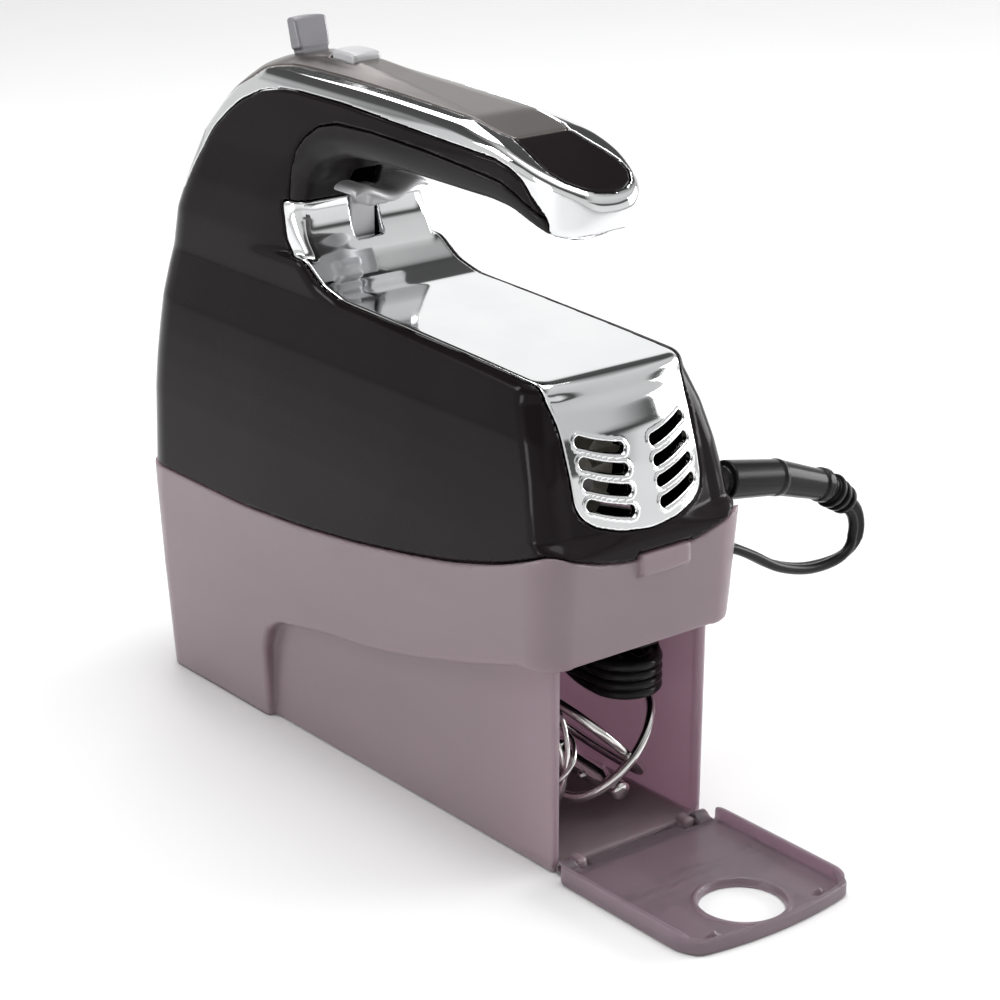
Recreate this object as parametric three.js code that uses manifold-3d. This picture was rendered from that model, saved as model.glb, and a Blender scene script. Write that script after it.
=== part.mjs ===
// A hand mixer that stands snapped onto its storage case, as an assembly of separate pieces.
// Millimetres. +X points to the case's door and the mixer's vents, +Y to the side where the cord
// leaves, +Z up. The origin is the middle of the case's base, on the surface it stands on.
import * as THREE from 'three';
import { mergeVertices } from 'three/addons/utils/BufferGeometryUtils.js';
import Module from 'manifold-3d';

const wasm = await Module();
wasm.setup();

// ---------------------------------------------------------------- driving dimensions
const GAP = 0.3; // clearance between neighbouring pieces
const FAR = 130; // reach of a cutting block past the mixer's sides and ends
const WALL = 2.2; // mixer shell
const CASE_WALL = 2.2;
const CASE_FLOOR = 2.5;

// storage case
const LEG_END = 96; // open end of the leg, toward the door
const LEG_HALF = 27.2;
const DOOR_OPENING_TOP = 62;
const RIM_FRONT = 69.5; // rim height over the front half
const RIM_CORNER = 97; // rim height at the two rear corners
const RIM_SAG = 8.5; // how far the end rim dips between them

// door and its hinge
const HINGE_X = 98.4;
const HINGE_Z = 2.2;
const DOOR_HALF = 29.6;
const DOOR_START = 100.8;
const DOOR_CORNER_X = 154.2;
const DOOR_BULGE = 3.6; // the free edge is an arc this much longer in the middle
const DOOR_SKIN = 2;
const DOOR_RIM = 5.6; // height of the side rims, which fold round the leg
const DOOR_LIP = 4.2; // height of the rim along the free edge
const DOOR_RIM_WALL = 1.4;

// mixer
const DECK_FRONT_Z = 140;
const DECK_REAR_X = 87.5;
const DECK_REAR_Z = 136.5;
const DECK_HALF = 24;
const BASE_Z = 65; // underside of the mixer
const AXIS_Z = 101; // motor axis
const SPINDLE_X = -62;
const SPINDLE_Y = 15;
const LEVER_PIVOT = [-36, 0, 146]; // speed lever's pin
const LEVER_REST = 14; // degrees forward of upright

// cord
const BOOT = [92, 35.4, 99];
const CORD_RADIUS = 2.75;

// ---------------------------------------------------------------- materials
function material(color, roughness, metalness) {
  return new THREE.MeshStandardMaterial({ color, roughness, metalness });
}

const BLACK = material(0x1c1a1b, 0.18, 0);
const SATIN_BLACK = material(0x232122, 0.45, 0);
const CHROME = material(0xd8dade, 0.06, 1);
const SILVER = material(0xb4b6ba, 0.3, 0.6);
const SMOKY = material(0x8f8189, 0.35, 0);
const STEEL = material(0xb9bbbd, 0.3, 1);
const IRON = material(0x6f7276, 0.5, 1);
const COPPER = material(0xb06a3a, 0.35, 1);
const NYLON = material(0xe6e1d3, 0.5, 0);
const BRASS = material(0xc9a45a, 0.3, 1);
const BOARD = material(0x2f6b3f, 0.6, 0);
const RUBBER = material(0x151515, 0.6, 0);

// ---------------------------------------------------------------- solids
function toSolid(geometry) {
  const bare = geometry.clone();
  for (const name of ['normal', 'uv', 'color']) bare.deleteAttribute(name);
  const merged = mergeVertices(bare, 1e-4);
  const vertProperties = new Float32Array(merged.attributes.position.array);
  const triVerts = new Uint32Array(merged.index.array);
  const made = new wasm.Manifold(new wasm.Mesh({ numProp: 3, vertProperties, triVerts }));
  if (made.volume() > 0) return made;
  for (let i = 0; i < triVerts.length; i += 3) {
    [triVerts[i + 1], triVerts[i + 2]] = [triVerts[i + 2], triVerts[i + 1]];
  }
  return new wasm.Manifold(new wasm.Mesh({ numProp: 3, vertProperties, triVerts }));
}

function toGeometry(solid) {
  const { vertProperties, triVerts } = solid.getMesh();
  const geometry = new THREE.BufferGeometry();
  geometry.setAttribute('position', new THREE.BufferAttribute(vertProperties, 3));
  geometry.setIndex(new THREE.BufferAttribute(triVerts, 1));
  return geometry;
}

const join = (...solids) => solids.reduce((whole, next) => whole.add(next));
const cut = (solid, ...tools) => tools.reduce((rest, tool) => rest.subtract(tool), solid);
const common = (...solids) => solids.reduce((whole, next) => whole.intersect(next));

// The stretch from near to far on the side given by its sign, in rising order.
const onSide = (side, near, far) => (side > 0 ? [near, far] : [-far, -near]);

// A block from its two opposite corners.
function block([x0, y0, z0], [x1, y1, z1]) {
  const geometry = new THREE.BoxGeometry(x1 - x0, y1 - y0, z1 - z0);
  geometry.translate((x0 + x1) / 2, (y0 + y1) / 2, (z0 + z1) / 2);
  return toSolid(geometry);
}

const AXES = {
  x: new THREE.Vector3(1, 0, 0),
  y: new THREE.Vector3(0, 1, 0),
  z: new THREE.Vector3(0, 0, 1),
};

// A round bar, or a cone where the end radius differs, between two points.
function bar(from, to, radius, sides = 16, endRadius = radius) {
  const start = new THREE.Vector3(...from);
  const along = new THREE.Vector3(...to).sub(start);
  const geometry = new THREE.CylinderGeometry(endRadius, radius, along.length(), sides);
  geometry.translate(0, along.length() / 2, 0);
  geometry.applyQuaternion(new THREE.Quaternion().setFromUnitVectors(AXES.y, along.clone().normalize()));
  geometry.translate(start.x, start.y, start.z);
  return toSolid(geometry);
}

function extrude(points, depth, across, up, along, offset) {
  const shape = new THREE.Shape(points.map(([a, b]) => new THREE.Vector2(a, b)));
  const geometry = new THREE.ExtrudeGeometry(shape, { depth, bevelEnabled: false });
  geometry.applyMatrix4(new THREE.Matrix4().makeBasis(across, up, along));
  geometry.translate(...offset);
  return toSolid(geometry);
}

// A side view (x, z) carried along Y from y0 to y1.
function sideSlab(points, y0, y1) {
  return extrude(points, y1 - y0, AXES.x, AXES.z, AXES.y.clone().negate(), [0, y1, 0]);
}

// A front view (y, z) carried along X from x0 to x1.
function frontSlab(points, x0, x1) {
  return extrude(points, x1 - x0, AXES.y, AXES.z, AXES.x, [x0, 0, 0]);
}

// A plan view (x, y) carried up from z0 to z1.
function planSlab(points, z0, z1) {
  return extrude(points, z1 - z0, AXES.x, AXES.y, AXES.z, [0, 0, z0]);
}

// Rounded rectangle in plan, with its own corner radius at each end.
function roundedPlan(front, rear, half, frontRadius, rearRadius, steps = 4) {
  const points = [];
  const corner = (x, y, radius, startAngle) => {
    for (let i = 0; i <= steps; i += 1) {
      const angle = startAngle + (Math.PI / 2) * (i / steps);
      points.push([x + radius * Math.cos(angle), y + radius * Math.sin(angle)]);
    }
  };
  corner(rear - rearRadius, half - rearRadius, rearRadius, 0);
  corner(front + frontRadius, half - frontRadius, frontRadius, Math.PI / 2);
  corner(front + frontRadius, frontRadius - half, frontRadius, Math.PI);
  corner(rear - rearRadius, rearRadius - half, rearRadius, Math.PI * 1.5);
  return points;
}

// Rings of equal length joined into one closed body with flat ends.
function loft(rings) {
  const count = rings[0].length;
  const index = [];
  for (let ring = 0; ring < rings.length - 1; ring += 1) {
    for (let i = 0; i < count; i += 1) {
      const a = ring * count + i;
      const b = ring * count + ((i + 1) % count);
      index.push(a, b, b + count, a, b + count, a + count);
    }
  }
  const last = (rings.length - 1) * count;
  for (let i = 1; i < count - 1; i += 1) {
    index.push(0, i + 1, i, last, last + i, last + i + 1);
  }
  const geometry = new THREE.BufferGeometry();
  geometry.setAttribute('position', new THREE.Float32BufferAttribute(rings.flat(2), 3));
  geometry.setIndex(index);
  return toSolid(geometry);
}

// A body given by plan outlines at rising heights, shrunk by an inset all round.
function tower(levels, inset = 0, steps = 4) {
  return loft(levels.map(({ z, front, rear, half, frontRadius, rearRadius }) => roundedPlan(
    front + inset,
    rear - inset,
    half - inset,
    Math.max(frontRadius - inset, 1),
    Math.max(rearRadius - inset, 1),
    steps,
  ).map(([x, y]) => [x, y, z])));
}

// Outline moved inward (positive) or outward, with mitred corners; the outline runs anticlockwise.
function insetOutline(points, distance) {
  const count = points.length;
  return points.map((point, i) => {
    const before = points[(i + count - 1) % count];
    const after = points[(i + 1) % count];
    const inward = ([ax, ay], [bx, by]) => {
      const length = Math.hypot(bx - ax, by - ay);
      return [-(by - ay) / length, (bx - ax) / length];
    };
    const [n1, n2] = [inward(before, point), inward(point, after)];
    const scale = distance / (1 + n1[0] * n2[0] + n1[1] * n2[1]);
    return [point[0] + (n1[0] + n2[0]) * scale, point[1] + (n1[1] + n2[1]) * scale];
  });
}

// A round wire along a smooth open curve.
function wire(points, radius, sides, steps) {
  const path = new THREE.CatmullRomCurve3(points.map((point) => new THREE.Vector3(...point)));
  const section = new THREE.Shape(Array.from({ length: sides }, (_, i) => {
    const angle = (2 * Math.PI * i) / sides;
    return new THREE.Vector2(radius * Math.cos(angle), radius * Math.sin(angle));
  }));
  return toSolid(new THREE.ExtrudeGeometry(section, { steps, extrudePath: path, bevelEnabled: false }));
}

// A ring of revolution about an axis through a centre, from a closed (radius, height) profile.
function turned(profile, centre, axis, segments = 24) {
  const closed = [...profile, profile[0]].map(([radius, height]) => new THREE.Vector2(radius, height));
  const geometry = new THREE.LatheGeometry(closed, segments);
  geometry.applyQuaternion(new THREE.Quaternion().setFromUnitVectors(AXES.y, axis));
  geometry.translate(...centre);
  return toSolid(geometry);
}

// A tube or washer about an axis: outer and inner radius, from height h0 to h1.
function sleeve(centre, axis, outer, inner, h0, h1, segments = 24) {
  return turned([[inner, h0], [outer, h0], [outer, h1], [inner, h1]], centre, axis, segments);
}

const assembly = new THREE.Group();

function add(name, solid, skin) {
  const mesh = new THREE.Mesh(toGeometry(solid), skin);
  mesh.name = name;
  assembly.add(mesh);
  return mesh;
}

// ---------------------------------------------------------------- storage case
// The rim rises from front to rear, and the end rim dips between its two corners.
const RIM_LINE = [
  [-FAR, RIM_FRONT], [-40, RIM_FRONT], [-10, 71.6], [16, 74.6], [40, 78.4], [62, 82.6],
  [82, 88], [95, 93], [104, RIM_CORNER], [FAR, RIM_CORNER],
];
const COLLAR_LINE = [
  [-37, 24], [-34, 31], [-28, 35], [-5, 39.5], [18, 42.5], [42, 47.5], [66, 54], [90, 61.5], [FAR, 62],
];

function rimRegion(raise) {
  const along = [[-FAR, -5], [FAR, -5], ...RIM_LINE.map(([x, z]) => [x, z + raise]).reverse()];
  const across = [[-FAR, -5], [FAR, -5]];
  for (let i = 6; i >= -6; i -= 1) {
    const share = i / 6;
    across.push([share * 36, RIM_CORNER - RIM_SAG * (1 - share * share) + raise]);
  }
  across.splice(2, 0, [FAR, RIM_CORNER + raise]);
  across.push([-FAR, RIM_CORNER + raise]);
  return common(sideSlab(along, -FAR, FAR), frontSlab(across, -FAR, FAR));
}

function insetRegion(shrink) {
  const line = COLLAR_LINE.map(([x, z]) => [x + (z < 34 ? shrink : 0), z - shrink]);
  return sideSlab([[-38 + shrink, -5], [FAR, -5], ...line.reverse()], -FAR, FAR);
}

const CASE_LEVELS = [
  { z: 0, front: -96, rear: 100.5, half: 29.8, frontRadius: 8, rearRadius: 6 },
  { z: 35, front: -98.4, rear: 101, half: 32.4, frontRadius: 11, rearRadius: 8 },
  { z: 62, front: -100.3, rear: 101.5, half: 34.6, frontRadius: 15, rearRadius: 9 },
  { z: 70, front: -101, rear: 102.3, half: 35.4, frontRadius: 17, rearRadius: 10 },
  { z: 98, front: -102, rear: 104.6, half: 36.6, frontRadius: 17, rearRadius: 11 },
];
const LEG_LEVELS = [
  { z: 0, front: -94, rear: LEG_END, half: LEG_HALF, frontRadius: 8, rearRadius: 1 },
  { z: 66, front: -96, rear: LEG_END, half: LEG_HALF + 0.5, frontRadius: 8, rearRadius: 1 },
];

function raised(levels, floor) {
  return levels.map((level, i) => (i === 0 ? { ...level, z: floor } : level));
}

function storageCase() {
  const outer = join(
    cut(common(tower(CASE_LEVELS), rimRegion(0)), insetRegion(0)),
    common(tower(LEG_LEVELS), rimRegion(0)),
  );
  const legHollow = join(
    tower(raised([LEG_LEVELS[0], { ...LEG_LEVELS[1], z: 75 }], CASE_FLOOR), CASE_WALL),
    block([LEG_END - 20, -LEG_HALF + CASE_WALL, CASE_FLOOR], [FAR, LEG_HALF - CASE_WALL, DOOR_OPENING_TOP]),
  );
  const collarLevels = [...raised(CASE_LEVELS, CASE_FLOOR)];
  collarLevels[4] = { ...collarLevels[4], z: 105 };
  const collarHollow = cut(tower(collarLevels, CASE_WALL), insetRegion(-CASE_WALL));
  // the cord hangs over a slot in the far wall
  const cordSlot = join(
    block([84, 20, 74.5], [99.5, 45, 110]),
    block([83.9, 32, 92.5], [100.1, 45, 110]),
  );
  const body = cut(outer, legHollow, collarHollow, cordSlot);
  const hinge = [];
  const recesses = [];
  for (const side of [-1, 1]) {
    const [lugStart, lugEnd] = onSide(side, 18.2, 21.4);
    const lug = block([LEG_END - 1, lugStart, 0.3], [HINGE_X + 1.4, lugEnd, 3.8]);
    const pin = bar([HINGE_X, side * 20, HINGE_Z], [HINGE_X, side * 25.8, HINGE_Z], 0.9, 8);
    hinge.push(lug, pin);
    recesses.push(bar([HINGE_X, side * 21.8, HINGE_Z], [HINGE_X, side * 33, HINGE_Z], 3.1, 16));
  }
  const tab = block([102.4, -5, 84], [105.4, 13, 90.6]);
  return join(cut(body, ...recesses), ...hinge, cut(tab, collarHollow));
}

// ---------------------------------------------------------------- case door
function doorPlan(inset) {
  const half = DOOR_HALF - inset;
  const corner = 4 - inset * 0.5;
  const start = DOOR_START - (inset > 0 ? 1 : 0);
  const points = [[start, half], [start, -half]];
  points.push([DOOR_CORNER_X - corner - inset, -half]);
  for (let i = -4; i <= 4; i += 1) {
    const y = (i / 4) * (half - corner * 0.6);
    points.push([DOOR_CORNER_X - inset + DOOR_BULGE * (1 - (y / half) ** 2), y]);
  }
  points.push([DOOR_CORNER_X - corner - inset, half]);
  return points;
}

function caseDoor() {
  const tray = planSlab(doorPlan(0), 0, DOOR_RIM);
  const hollow = planSlab(doorPlan(DOOR_RIM_WALL), DOOR_SKIN, DOOR_RIM + 5);
  const hole = bar([142, 0, -1], [142, 0, DOOR_SKIN + 1], 11.6, 24);
  const lowLip = block([148, DOOR_RIM_WALL - DOOR_HALF, DOOR_LIP], [FAR * 2, DOOR_HALF - DOOR_RIM_WALL, 10]);
  let door = cut(tray, hollow, hole, lowLip);
  for (const y of [-19, 19]) {
    door = join(door, block([150.5, y - 2, DOOR_SKIN - 0.5], [153, y + 2, DOOR_LIP]));
  }
  door = join(door, block([HINGE_X - 0.9, -17, 0.2], [DOOR_START + 0.6, 17, 1.8]));
  for (const side of [-1, 1]) {
    const [armStart, armEnd] = onSide(side, 22, 26.6);
    const knuckle = bar([HINGE_X, side * 22, HINGE_Z], [HINGE_X, side * 26.6, HINGE_Z], 2.1, 12);
    const arm = block([HINGE_X, armStart, 0.2], [DOOR_START + 0.6, armEnd, 2.9]);
    const bore = bar([HINGE_X, side * 21, HINGE_Z], [HINGE_X, side * 28, HINGE_Z], 1.25, 10);
    door = join(door, cut(join(knuckle, arm), bore));
  }
  return door;
}

add('storage_case', storageCase(), SMOKY);
add('case_door', caseDoor(), SMOKY);

// ---------------------------------------------------------------- mixer shell
// Upward from the deck the levels describe the forehead; the handle behind it is narrower and
// follows the plan of the grip.
const BODY_LEVELS = [
  { z: 60, front: -100.4, rear: 104.4, half: 35.3, frontRadius: 17, rearRadius: 10 },
  { z: 94, front: -100, rear: 104.2, half: 34.3, frontRadius: 17, rearRadius: 10 },
  { z: 99, front: -99.9, rear: 102.6, half: 33.8, frontRadius: 17, rearRadius: 10 },
  { z: 105, front: -99.8, rear: 100.6, half: 33.3, frontRadius: 17, rearRadius: 10 },
  { z: 113, front: -99.6, rear: 98.6, half: 32.2, frontRadius: 17, rearRadius: 10 },
  { z: 123, front: -99.4, rear: 95, half: 30.6, frontRadius: 17, rearRadius: 9 },
  { z: 132, front: -98.8, rear: 91, half: 28.6, frontRadius: 17, rearRadius: 8 },
  { z: 138, front: -98.2, rear: 91, half: 27, frontRadius: 17, rearRadius: 8 },
  { z: 150, front: -96, rear: 93, half: 26, frontRadius: 16, rearRadius: 15 },
  { z: 162, front: -91, rear: 93, half: 24.6, frontRadius: 16, rearRadius: 15 },
  { z: 175, front: -84, rear: 93, half: 22.6, frontRadius: 15, rearRadius: 15 },
  { z: 185, front: -75, rear: 93, half: 20.6, frontRadius: 14, rearRadius: 15 },
  { z: 190, front: -69, rear: 93, half: 19.4, frontRadius: 13, rearRadius: 15 },
  { z: 193.5, front: -64.5, rear: 93, half: 18.2, frontRadius: 12, rearRadius: 14 },
  { z: 196.4, front: -60.5, rear: 93, half: 15.8, frontRadius: 11, rearRadius: 13 },
  { z: 198.6, front: -56, rear: 93, half: 11.6, frontRadius: 9, rearRadius: 9 },
  { z: 200.4, front: -51, rear: 93, half: 7.6, frontRadius: 6, rearRadius: 6 },
  { z: 203.4, front: -34, rear: 93, half: 4, frontRadius: 3, rearRadius: 3 },
];
const CREST_Z = 189; // above this the shell's wall is also measured downward

// Side view of the mixer: the body with its deck, the opening for the hand, and the handle's end.
const SIDE_OUTLINE = [
  [-FAR, 50], [FAR, 50], [FAR, 132], [90.6, 132], [DECK_REAR_X, DECK_REAR_Z], [60, 137.9],
  [20, 139.4], [-2, DECK_FRONT_Z], [-12, 142.4], [-19, 147], [-23.5, 153.5], [-25.5, 161],
  [-24, 168.5], [-18, 175], [-8, 178.6], [5, 179.6], [56, 178.9], [64, 178], [71, 175.2],
  [77, 172.4], [83, 172], [87.5, 174], [89.8, 178], [88.8, 182.4], [84, 185.6], [77, 188],
  [68, 191], [57, 194.4], [40, 197.6], [15, 199.4], [-5, 200.9], [-20, 202.6], [-30, 203.4],
  [-34, 210], [-FAR, 210],
];

// Distance of the grip's side from the middle, along X, down to the rounded end.
const GRIP_HALF = [
  [-42, 27], [-22, 22.5], [0, 20.6], [25, 19.2], [50, 18.2], [64, 17.4], [72, 16.2], [79, 13.8],
  [85, 10], [88.6, 5.4],
];
const GRIP_END = 89.8;
const mirrored = (sides, end) => [
  ...sides.map(([x, half]) => [x, -half]),
  [end, 0],
  ...sides.map(([x, half]) => [x, half]).reverse(),
];
const gripSlab = (inset) => join(
  planSlab(insetOutline(mirrored([[-FAR, 44], ...GRIP_HALF], GRIP_END), inset), 148, 215),
  planSlab([[-FAR, -60], [FAR, -60], [FAR, 60], [-FAR, 60]], 30, 148),
);

const envelope = common(tower(BODY_LEVELS), sideSlab(SIDE_OUTLINE, -40, 40), gripSlab(0));
const hollow = common(
  tower(BODY_LEVELS.slice(0, -1).map((level, i) => {
    if (i === 0) return { ...level, z: 45 };
    return level.z > CREST_Z ? { ...level, z: level.z - 1.6 } : level;
  }), WALL),
  sideSlab(insetOutline(SIDE_OUTLINE, WALL), -40, 40),
  gripSlab(WALL),
);
const shell = cut(envelope, hollow);

// Side views of the regions that the separate covers take out of the shell.
const DECK_BAND = [
  [-32, 163], [-30, 152], [-23, 142], [-12, 136.5], [60, 132], [83, 131], [88, 115], [93, 100],
  [93, 90], [FAR, 90], [FAR, 150], [0, 150], [-20, 163],
];
const PANEL_FRONT = [ // front view of the deck and grille panel, whose lower edge is curved
  [0, 96.8], [10, 97.8], [17, 99.8], [20.6, 102.4], [22, 106], [22.2, 126], [DECK_HALF, 137],
  [DECK_HALF, 170], [-DECK_HALF, 170], [-DECK_HALF, 137], [-22.2, 126], [-22, 106],
  [-20.6, 102.4], [-17, 99.8], [-10, 97.8],
];
const INNER_BAND = [
  [-29.5, 163.3], [-15, 163.3], [-15, 150], [76.4, 150], [76.4, 176.4], [74, 178], [70, 180],
  [66, 182.2], [61, 184.5], [49, 185.9], [28, 187.5], [6, 188.4], [-10, 188], [-18, 186.1],
  [-24, 182], [-27, 178.2], [-28.6, 172.2],
];
const TRIM_BAND = [
  [-FAR, 153], [-95, 153], [-84, 158], [-77, 167.5], [-73, 172.9], [-70, 177.4], [-64, 182.7],
  [-58, 187.2], [-49, 191.4], [-40, 193.2], [-30, 193.8], [-11, 193.8], [9, 193], [27, 192.2],
  [49, 191.2], [58, 190.6], [64, 189.2], [68.7, 186.7], [72, 182.6], [75, 179.2], [76.9, 176.8],
  [76.9, 160], [FAR, 160], [FAR, 215], [-FAR, 215],
];
const deckRegion = (grow) => common(
  sideSlab(insetOutline(DECK_BAND, -grow), -40, 40),
  frontSlab(insetOutline(PANEL_FRONT, -grow), -FAR, FAR),
);
const innerRegion = (grow) => sideSlab(insetOutline(INNER_BAND, -grow), -40, 40);
const trimRegion = (grow) => sideSlab(insetOutline(TRIM_BAND, -grow), -40, 40);

// Plans of the top cover, which spreads over the forehead, and of the inlay in the handle's end.
const COVER_HALF = [
  [-79, 12], [-76, 15.6], [-70, 17], [-57, 16.4], [-50, 13.6], [-43, 11.2], [-36, 10.6], [52, 10.4],
];
const INLAY_HALF = [
  [56.5, 9.4], [63, 10.2], [69, 11.3], [74, 11.8], [79, 10.8], [83, 8], [85, 4.4],
];
const coverRegion = (grow) => planSlab(
  insetOutline(mirrored([...COVER_HALF, [56.2, 9.2]], 56.21), -grow),
  165,
  215,
);
const inlayRegion = (grow) => planSlab(insetOutline(mirrored(INLAY_HALF, 85.6), -grow), 178, 215);

function mainHousing() {
  const body = cut(
    shell,
    rimRegion(0.4),
    deckRegion(GAP),
    innerRegion(GAP),
    trimRegion(GAP),
    block([100, -5.5, 80], [FAR, 13.5, 91]),
    bar([BOOT[0], BOOT[1] - 12, BOOT[2]], [BOOT[0], BOOT[1] + 12, BOOT[2]], 4.3, 16),
  );
  // two posts that take the rear base screws
  const posts = [-1, 1].map((side) => bar([60, side * 29.5, 86], [60, side * 29.5, 100], 2.6, 10));
  return join(body, ...posts);
}

// Slots of the rear grille slope down toward the middle.
const VENT = { near: 4.4, far: 18.8, rise: 4.3, lowest: 101.8, pitch: 5.4, rows: 4, width: 3 };

function ventSlots() {
  const slots = [];
  const half = VENT.width / 2;
  for (const side of [-1, 1]) {
    for (let row = 0; row < VENT.rows; row += 1) {
      const z = VENT.lowest + row * VENT.pitch;
      const inner = [side * VENT.near, z];
      const outer = [side * VENT.far, z + VENT.rise];
      slots.push(frontSlab([
        [inner[0], inner[1] - half], [outer[0], outer[1] - half],
        [outer[0], outer[1] + half], [inner[0], inner[1] + half],
      ], 80, FAR));
    }
  }
  return slots;
}

function deckCover() {
  const stemSlot = block([-29.5, -5, 150.5], [-20, 5, 175]);
  return cut(common(shell, deckRegion(0)), stemSlot, ...ventSlots());
}

function innerCover() {
  const stemClear = block([-29.6, -5, 150], [-16, 5, 171]);
  return cut(common(shell, innerRegion(0)), stemClear);
}

function handleTrim() {
  return cut(common(shell, trimRegion(0)), coverRegion(GAP), inlayRegion(GAP));
}

// The lever's slot follows the curved top; the button has a square hole.
const BUTTON = { x: -27, half: 5.6, width: 5 };

function topCover() {
  const leverSlot = block([-76, -5.2, 160], [-43.5, 5.2, 210]);
  const buttonHole = block(
    [BUTTON.x - BUTTON.half - GAP, -BUTTON.width - GAP, 180],
    [BUTTON.x + BUTTON.half + GAP, BUTTON.width + GAP, 210],
  );
  return cut(common(shell, trimRegion(0), coverRegion(0)), leverSlot, buttonHole);
}

add('main_housing', mainHousing(), BLACK);
add('deck_cover', deckCover(), CHROME);
add('inner_cover', innerCover(), SATIN_BLACK);
add('handle_trim', handleTrim(), CHROME);
add('handle_top_cover', topCover(), BLACK);
add('handle_end_inlay', common(shell, trimRegion(0), inlayRegion(0)), BLACK);

// ---------------------------------------------------------------- base cover
// The base cover is the plug that drops into the case's collar. A recess in it passes the cord.
const PLUG_INSET = 3.1;
const SCREWS = [[-88, -14], [-88, 14], [72, -24], [72, 24]]; // their plan positions
const RECESS = { x0: 83.6, x1: 99.9, y: 17.6, top: 91 };

function baseCover() {
  const bottom = { ...CASE_LEVELS[2], z: BASE_Z };
  const levels = [bottom, CASE_LEVELS[3], { ...CASE_LEVELS[4], z: 105 }];
  const outer = common(tower(levels, PLUG_INSET), rimRegion(0));
  const inner = tower([{ ...bottom, z: BASE_Z + 2.4 }, ...levels.slice(1)], PLUG_INSET + 2);
  const recessWalls = common(outer, block([RECESS.x0 - 2, RECESS.y - 2, 60], [FAR, 45, RECESS.top]));
  const recess = block([RECESS.x0, RECESS.y, 60], [RECESS.x1, 45, 110]);
  const sockets = [-1, 1].map((side) => (
    bar([SPINDLE_X, side * SPINDLE_Y, 50], [SPINDLE_X, side * SPINDLE_Y, 75], 6.6, 16)
  ));
  const screwHoles = SCREWS.map(([x, y]) => bar([x, y, 60], [x, y, 75], 1.9, 10));
  const bowlRest = block([58, -40, 60], [64, 40, BASE_Z + 1.2]);
  return cut(join(cut(outer, inner), recessWalls), recess, ...sockets, ...screwHoles, bowlRest);
}

add('base_cover', baseCover(), SATIN_BLACK);
SCREWS.forEach(([x, y], i) => {
  const head = bar([x, y, BASE_Z - 1.6], [x, y, BASE_Z - GAP], 3, 12);
  const thread = bar([x, y, BASE_Z - 1], [x, y, BASE_Z + 11], 1.5, 8);
  add(`base_screw_${i + 1}`, join(head, thread), STEEL);
});

// ---------------------------------------------------------------- motor
// A turned body whose profile of (radius, x) starts and ends on the motor's axis.
function onAxis(profile, segments = 16) {
  const points = profile.map(([radius, along]) => new THREE.Vector2(radius, along));
  const geometry = new THREE.LatheGeometry(points, segments);
  geometry.applyQuaternion(new THREE.Quaternion().setFromUnitVectors(AXES.y, AXES.x));
  geometry.translate(0, 0, AXIS_Z);
  return toSolid(geometry);
}

const MOTOR_CENTRE = [0, 0, AXIS_Z];
const SHAFT_RADIUS = 3.5;
const BORE = SHAFT_RADIUS + GAP;
const STATOR = { x0: -10, x1: 24, halfY: 25, halfZ: 23.5, bore: 15 };
const WORM_RADIUS = 4.2;
const WORM = { x0: -74, x1: -50, pitch: 4, depth: 1.3 };

function stator() {
  const lamination = block(
    [STATOR.x0, -STATOR.halfY, AXIS_Z - STATOR.halfZ],
    [STATOR.x1, STATOR.halfY, AXIS_Z + STATOR.halfZ],
  );
  const bore = bar([STATOR.x0 - 1, 0, AXIS_Z], [STATOR.x1 + 1, 0, AXIS_Z], STATOR.bore, 24);
  const slots = [];
  for (const sy of [-1, 1]) {
    for (const sz of [-1, 1]) {
      const [y0, y1] = [8.6, 12.8].map((y) => y * sy).sort((a, b) => a - b);
      const [z0, z1] = [15.6, 21].map((z) => AXIS_Z + z * sz).sort((a, b) => a - b);
      slots.push(block([STATOR.x0 - 1, y0, z0], [STATOR.x1 + 1, y1, z1]));
    }
  }
  return cut(lamination, bore, ...slots);
}

// Each field coil is a flat ring round one pole, with its long sides in the stator's slots.
function fieldCoil(side) {
  const [z0, z1] = [16, 20.6].map((z) => AXIS_Z + z * side).sort((a, b) => a - b);
  const outer = block([STATOR.x0 - 6, -12.4, z0], [STATOR.x1 + 6, 12.4, z1]);
  return cut(outer, block([STATOR.x0 - 2, -9, z0 - 1], [STATOR.x1 + 2, 9, z1 + 1]));
}

function motorShaft() {
  const profile = [[0, -80], [2.4, -80], [2.4, WORM.x0 - 1]];
  for (let x = WORM.x0; x < WORM.x1; x += WORM.pitch) {
    profile.push([WORM_RADIUS - WORM.depth, x], [WORM_RADIUS, x + 1], [WORM_RADIUS, x + 2]);
    profile.push([WORM_RADIUS - WORM.depth, x + 3]);
  }
  profile.push([SHAFT_RADIUS, WORM.x1 + 1], [SHAFT_RADIUS, 75], [0, 75]);
  return onAxis(profile, 10);
}

// One tooth of the armature as (turn, radius), from one slot's edge to the next slot's floor.
const ARMATURE_TOOTH = [[-0.24, 14.2], [0, 14.4], [0.24, 14.2], [0.2, 12.4], [0.285, 10]];

// Laminated core with slots for the windings.
function armatureCore() {
  const teeth = 11;
  const outline = [];
  for (let i = 0; i < teeth; i += 1) {
    const middle = (2 * Math.PI * i) / teeth;
    for (const [turn, radius] of ARMATURE_TOOTH) {
      outline.push([radius * Math.cos(middle + turn), radius * Math.sin(middle + turn)]);
    }
  }
  const core = frontSlab(outline.map(([y, z]) => [y, z + AXIS_Z]), STATOR.x0 + 1, STATOR.x1 - 1);
  return cut(core, bar([STATOR.x0, 0, AXIS_Z], [STATOR.x1, 0, AXIS_Z], BORE, 14));
}

const COMMUTATOR = { x0: 31, x1: 41, radius: 8.5 };

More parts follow.
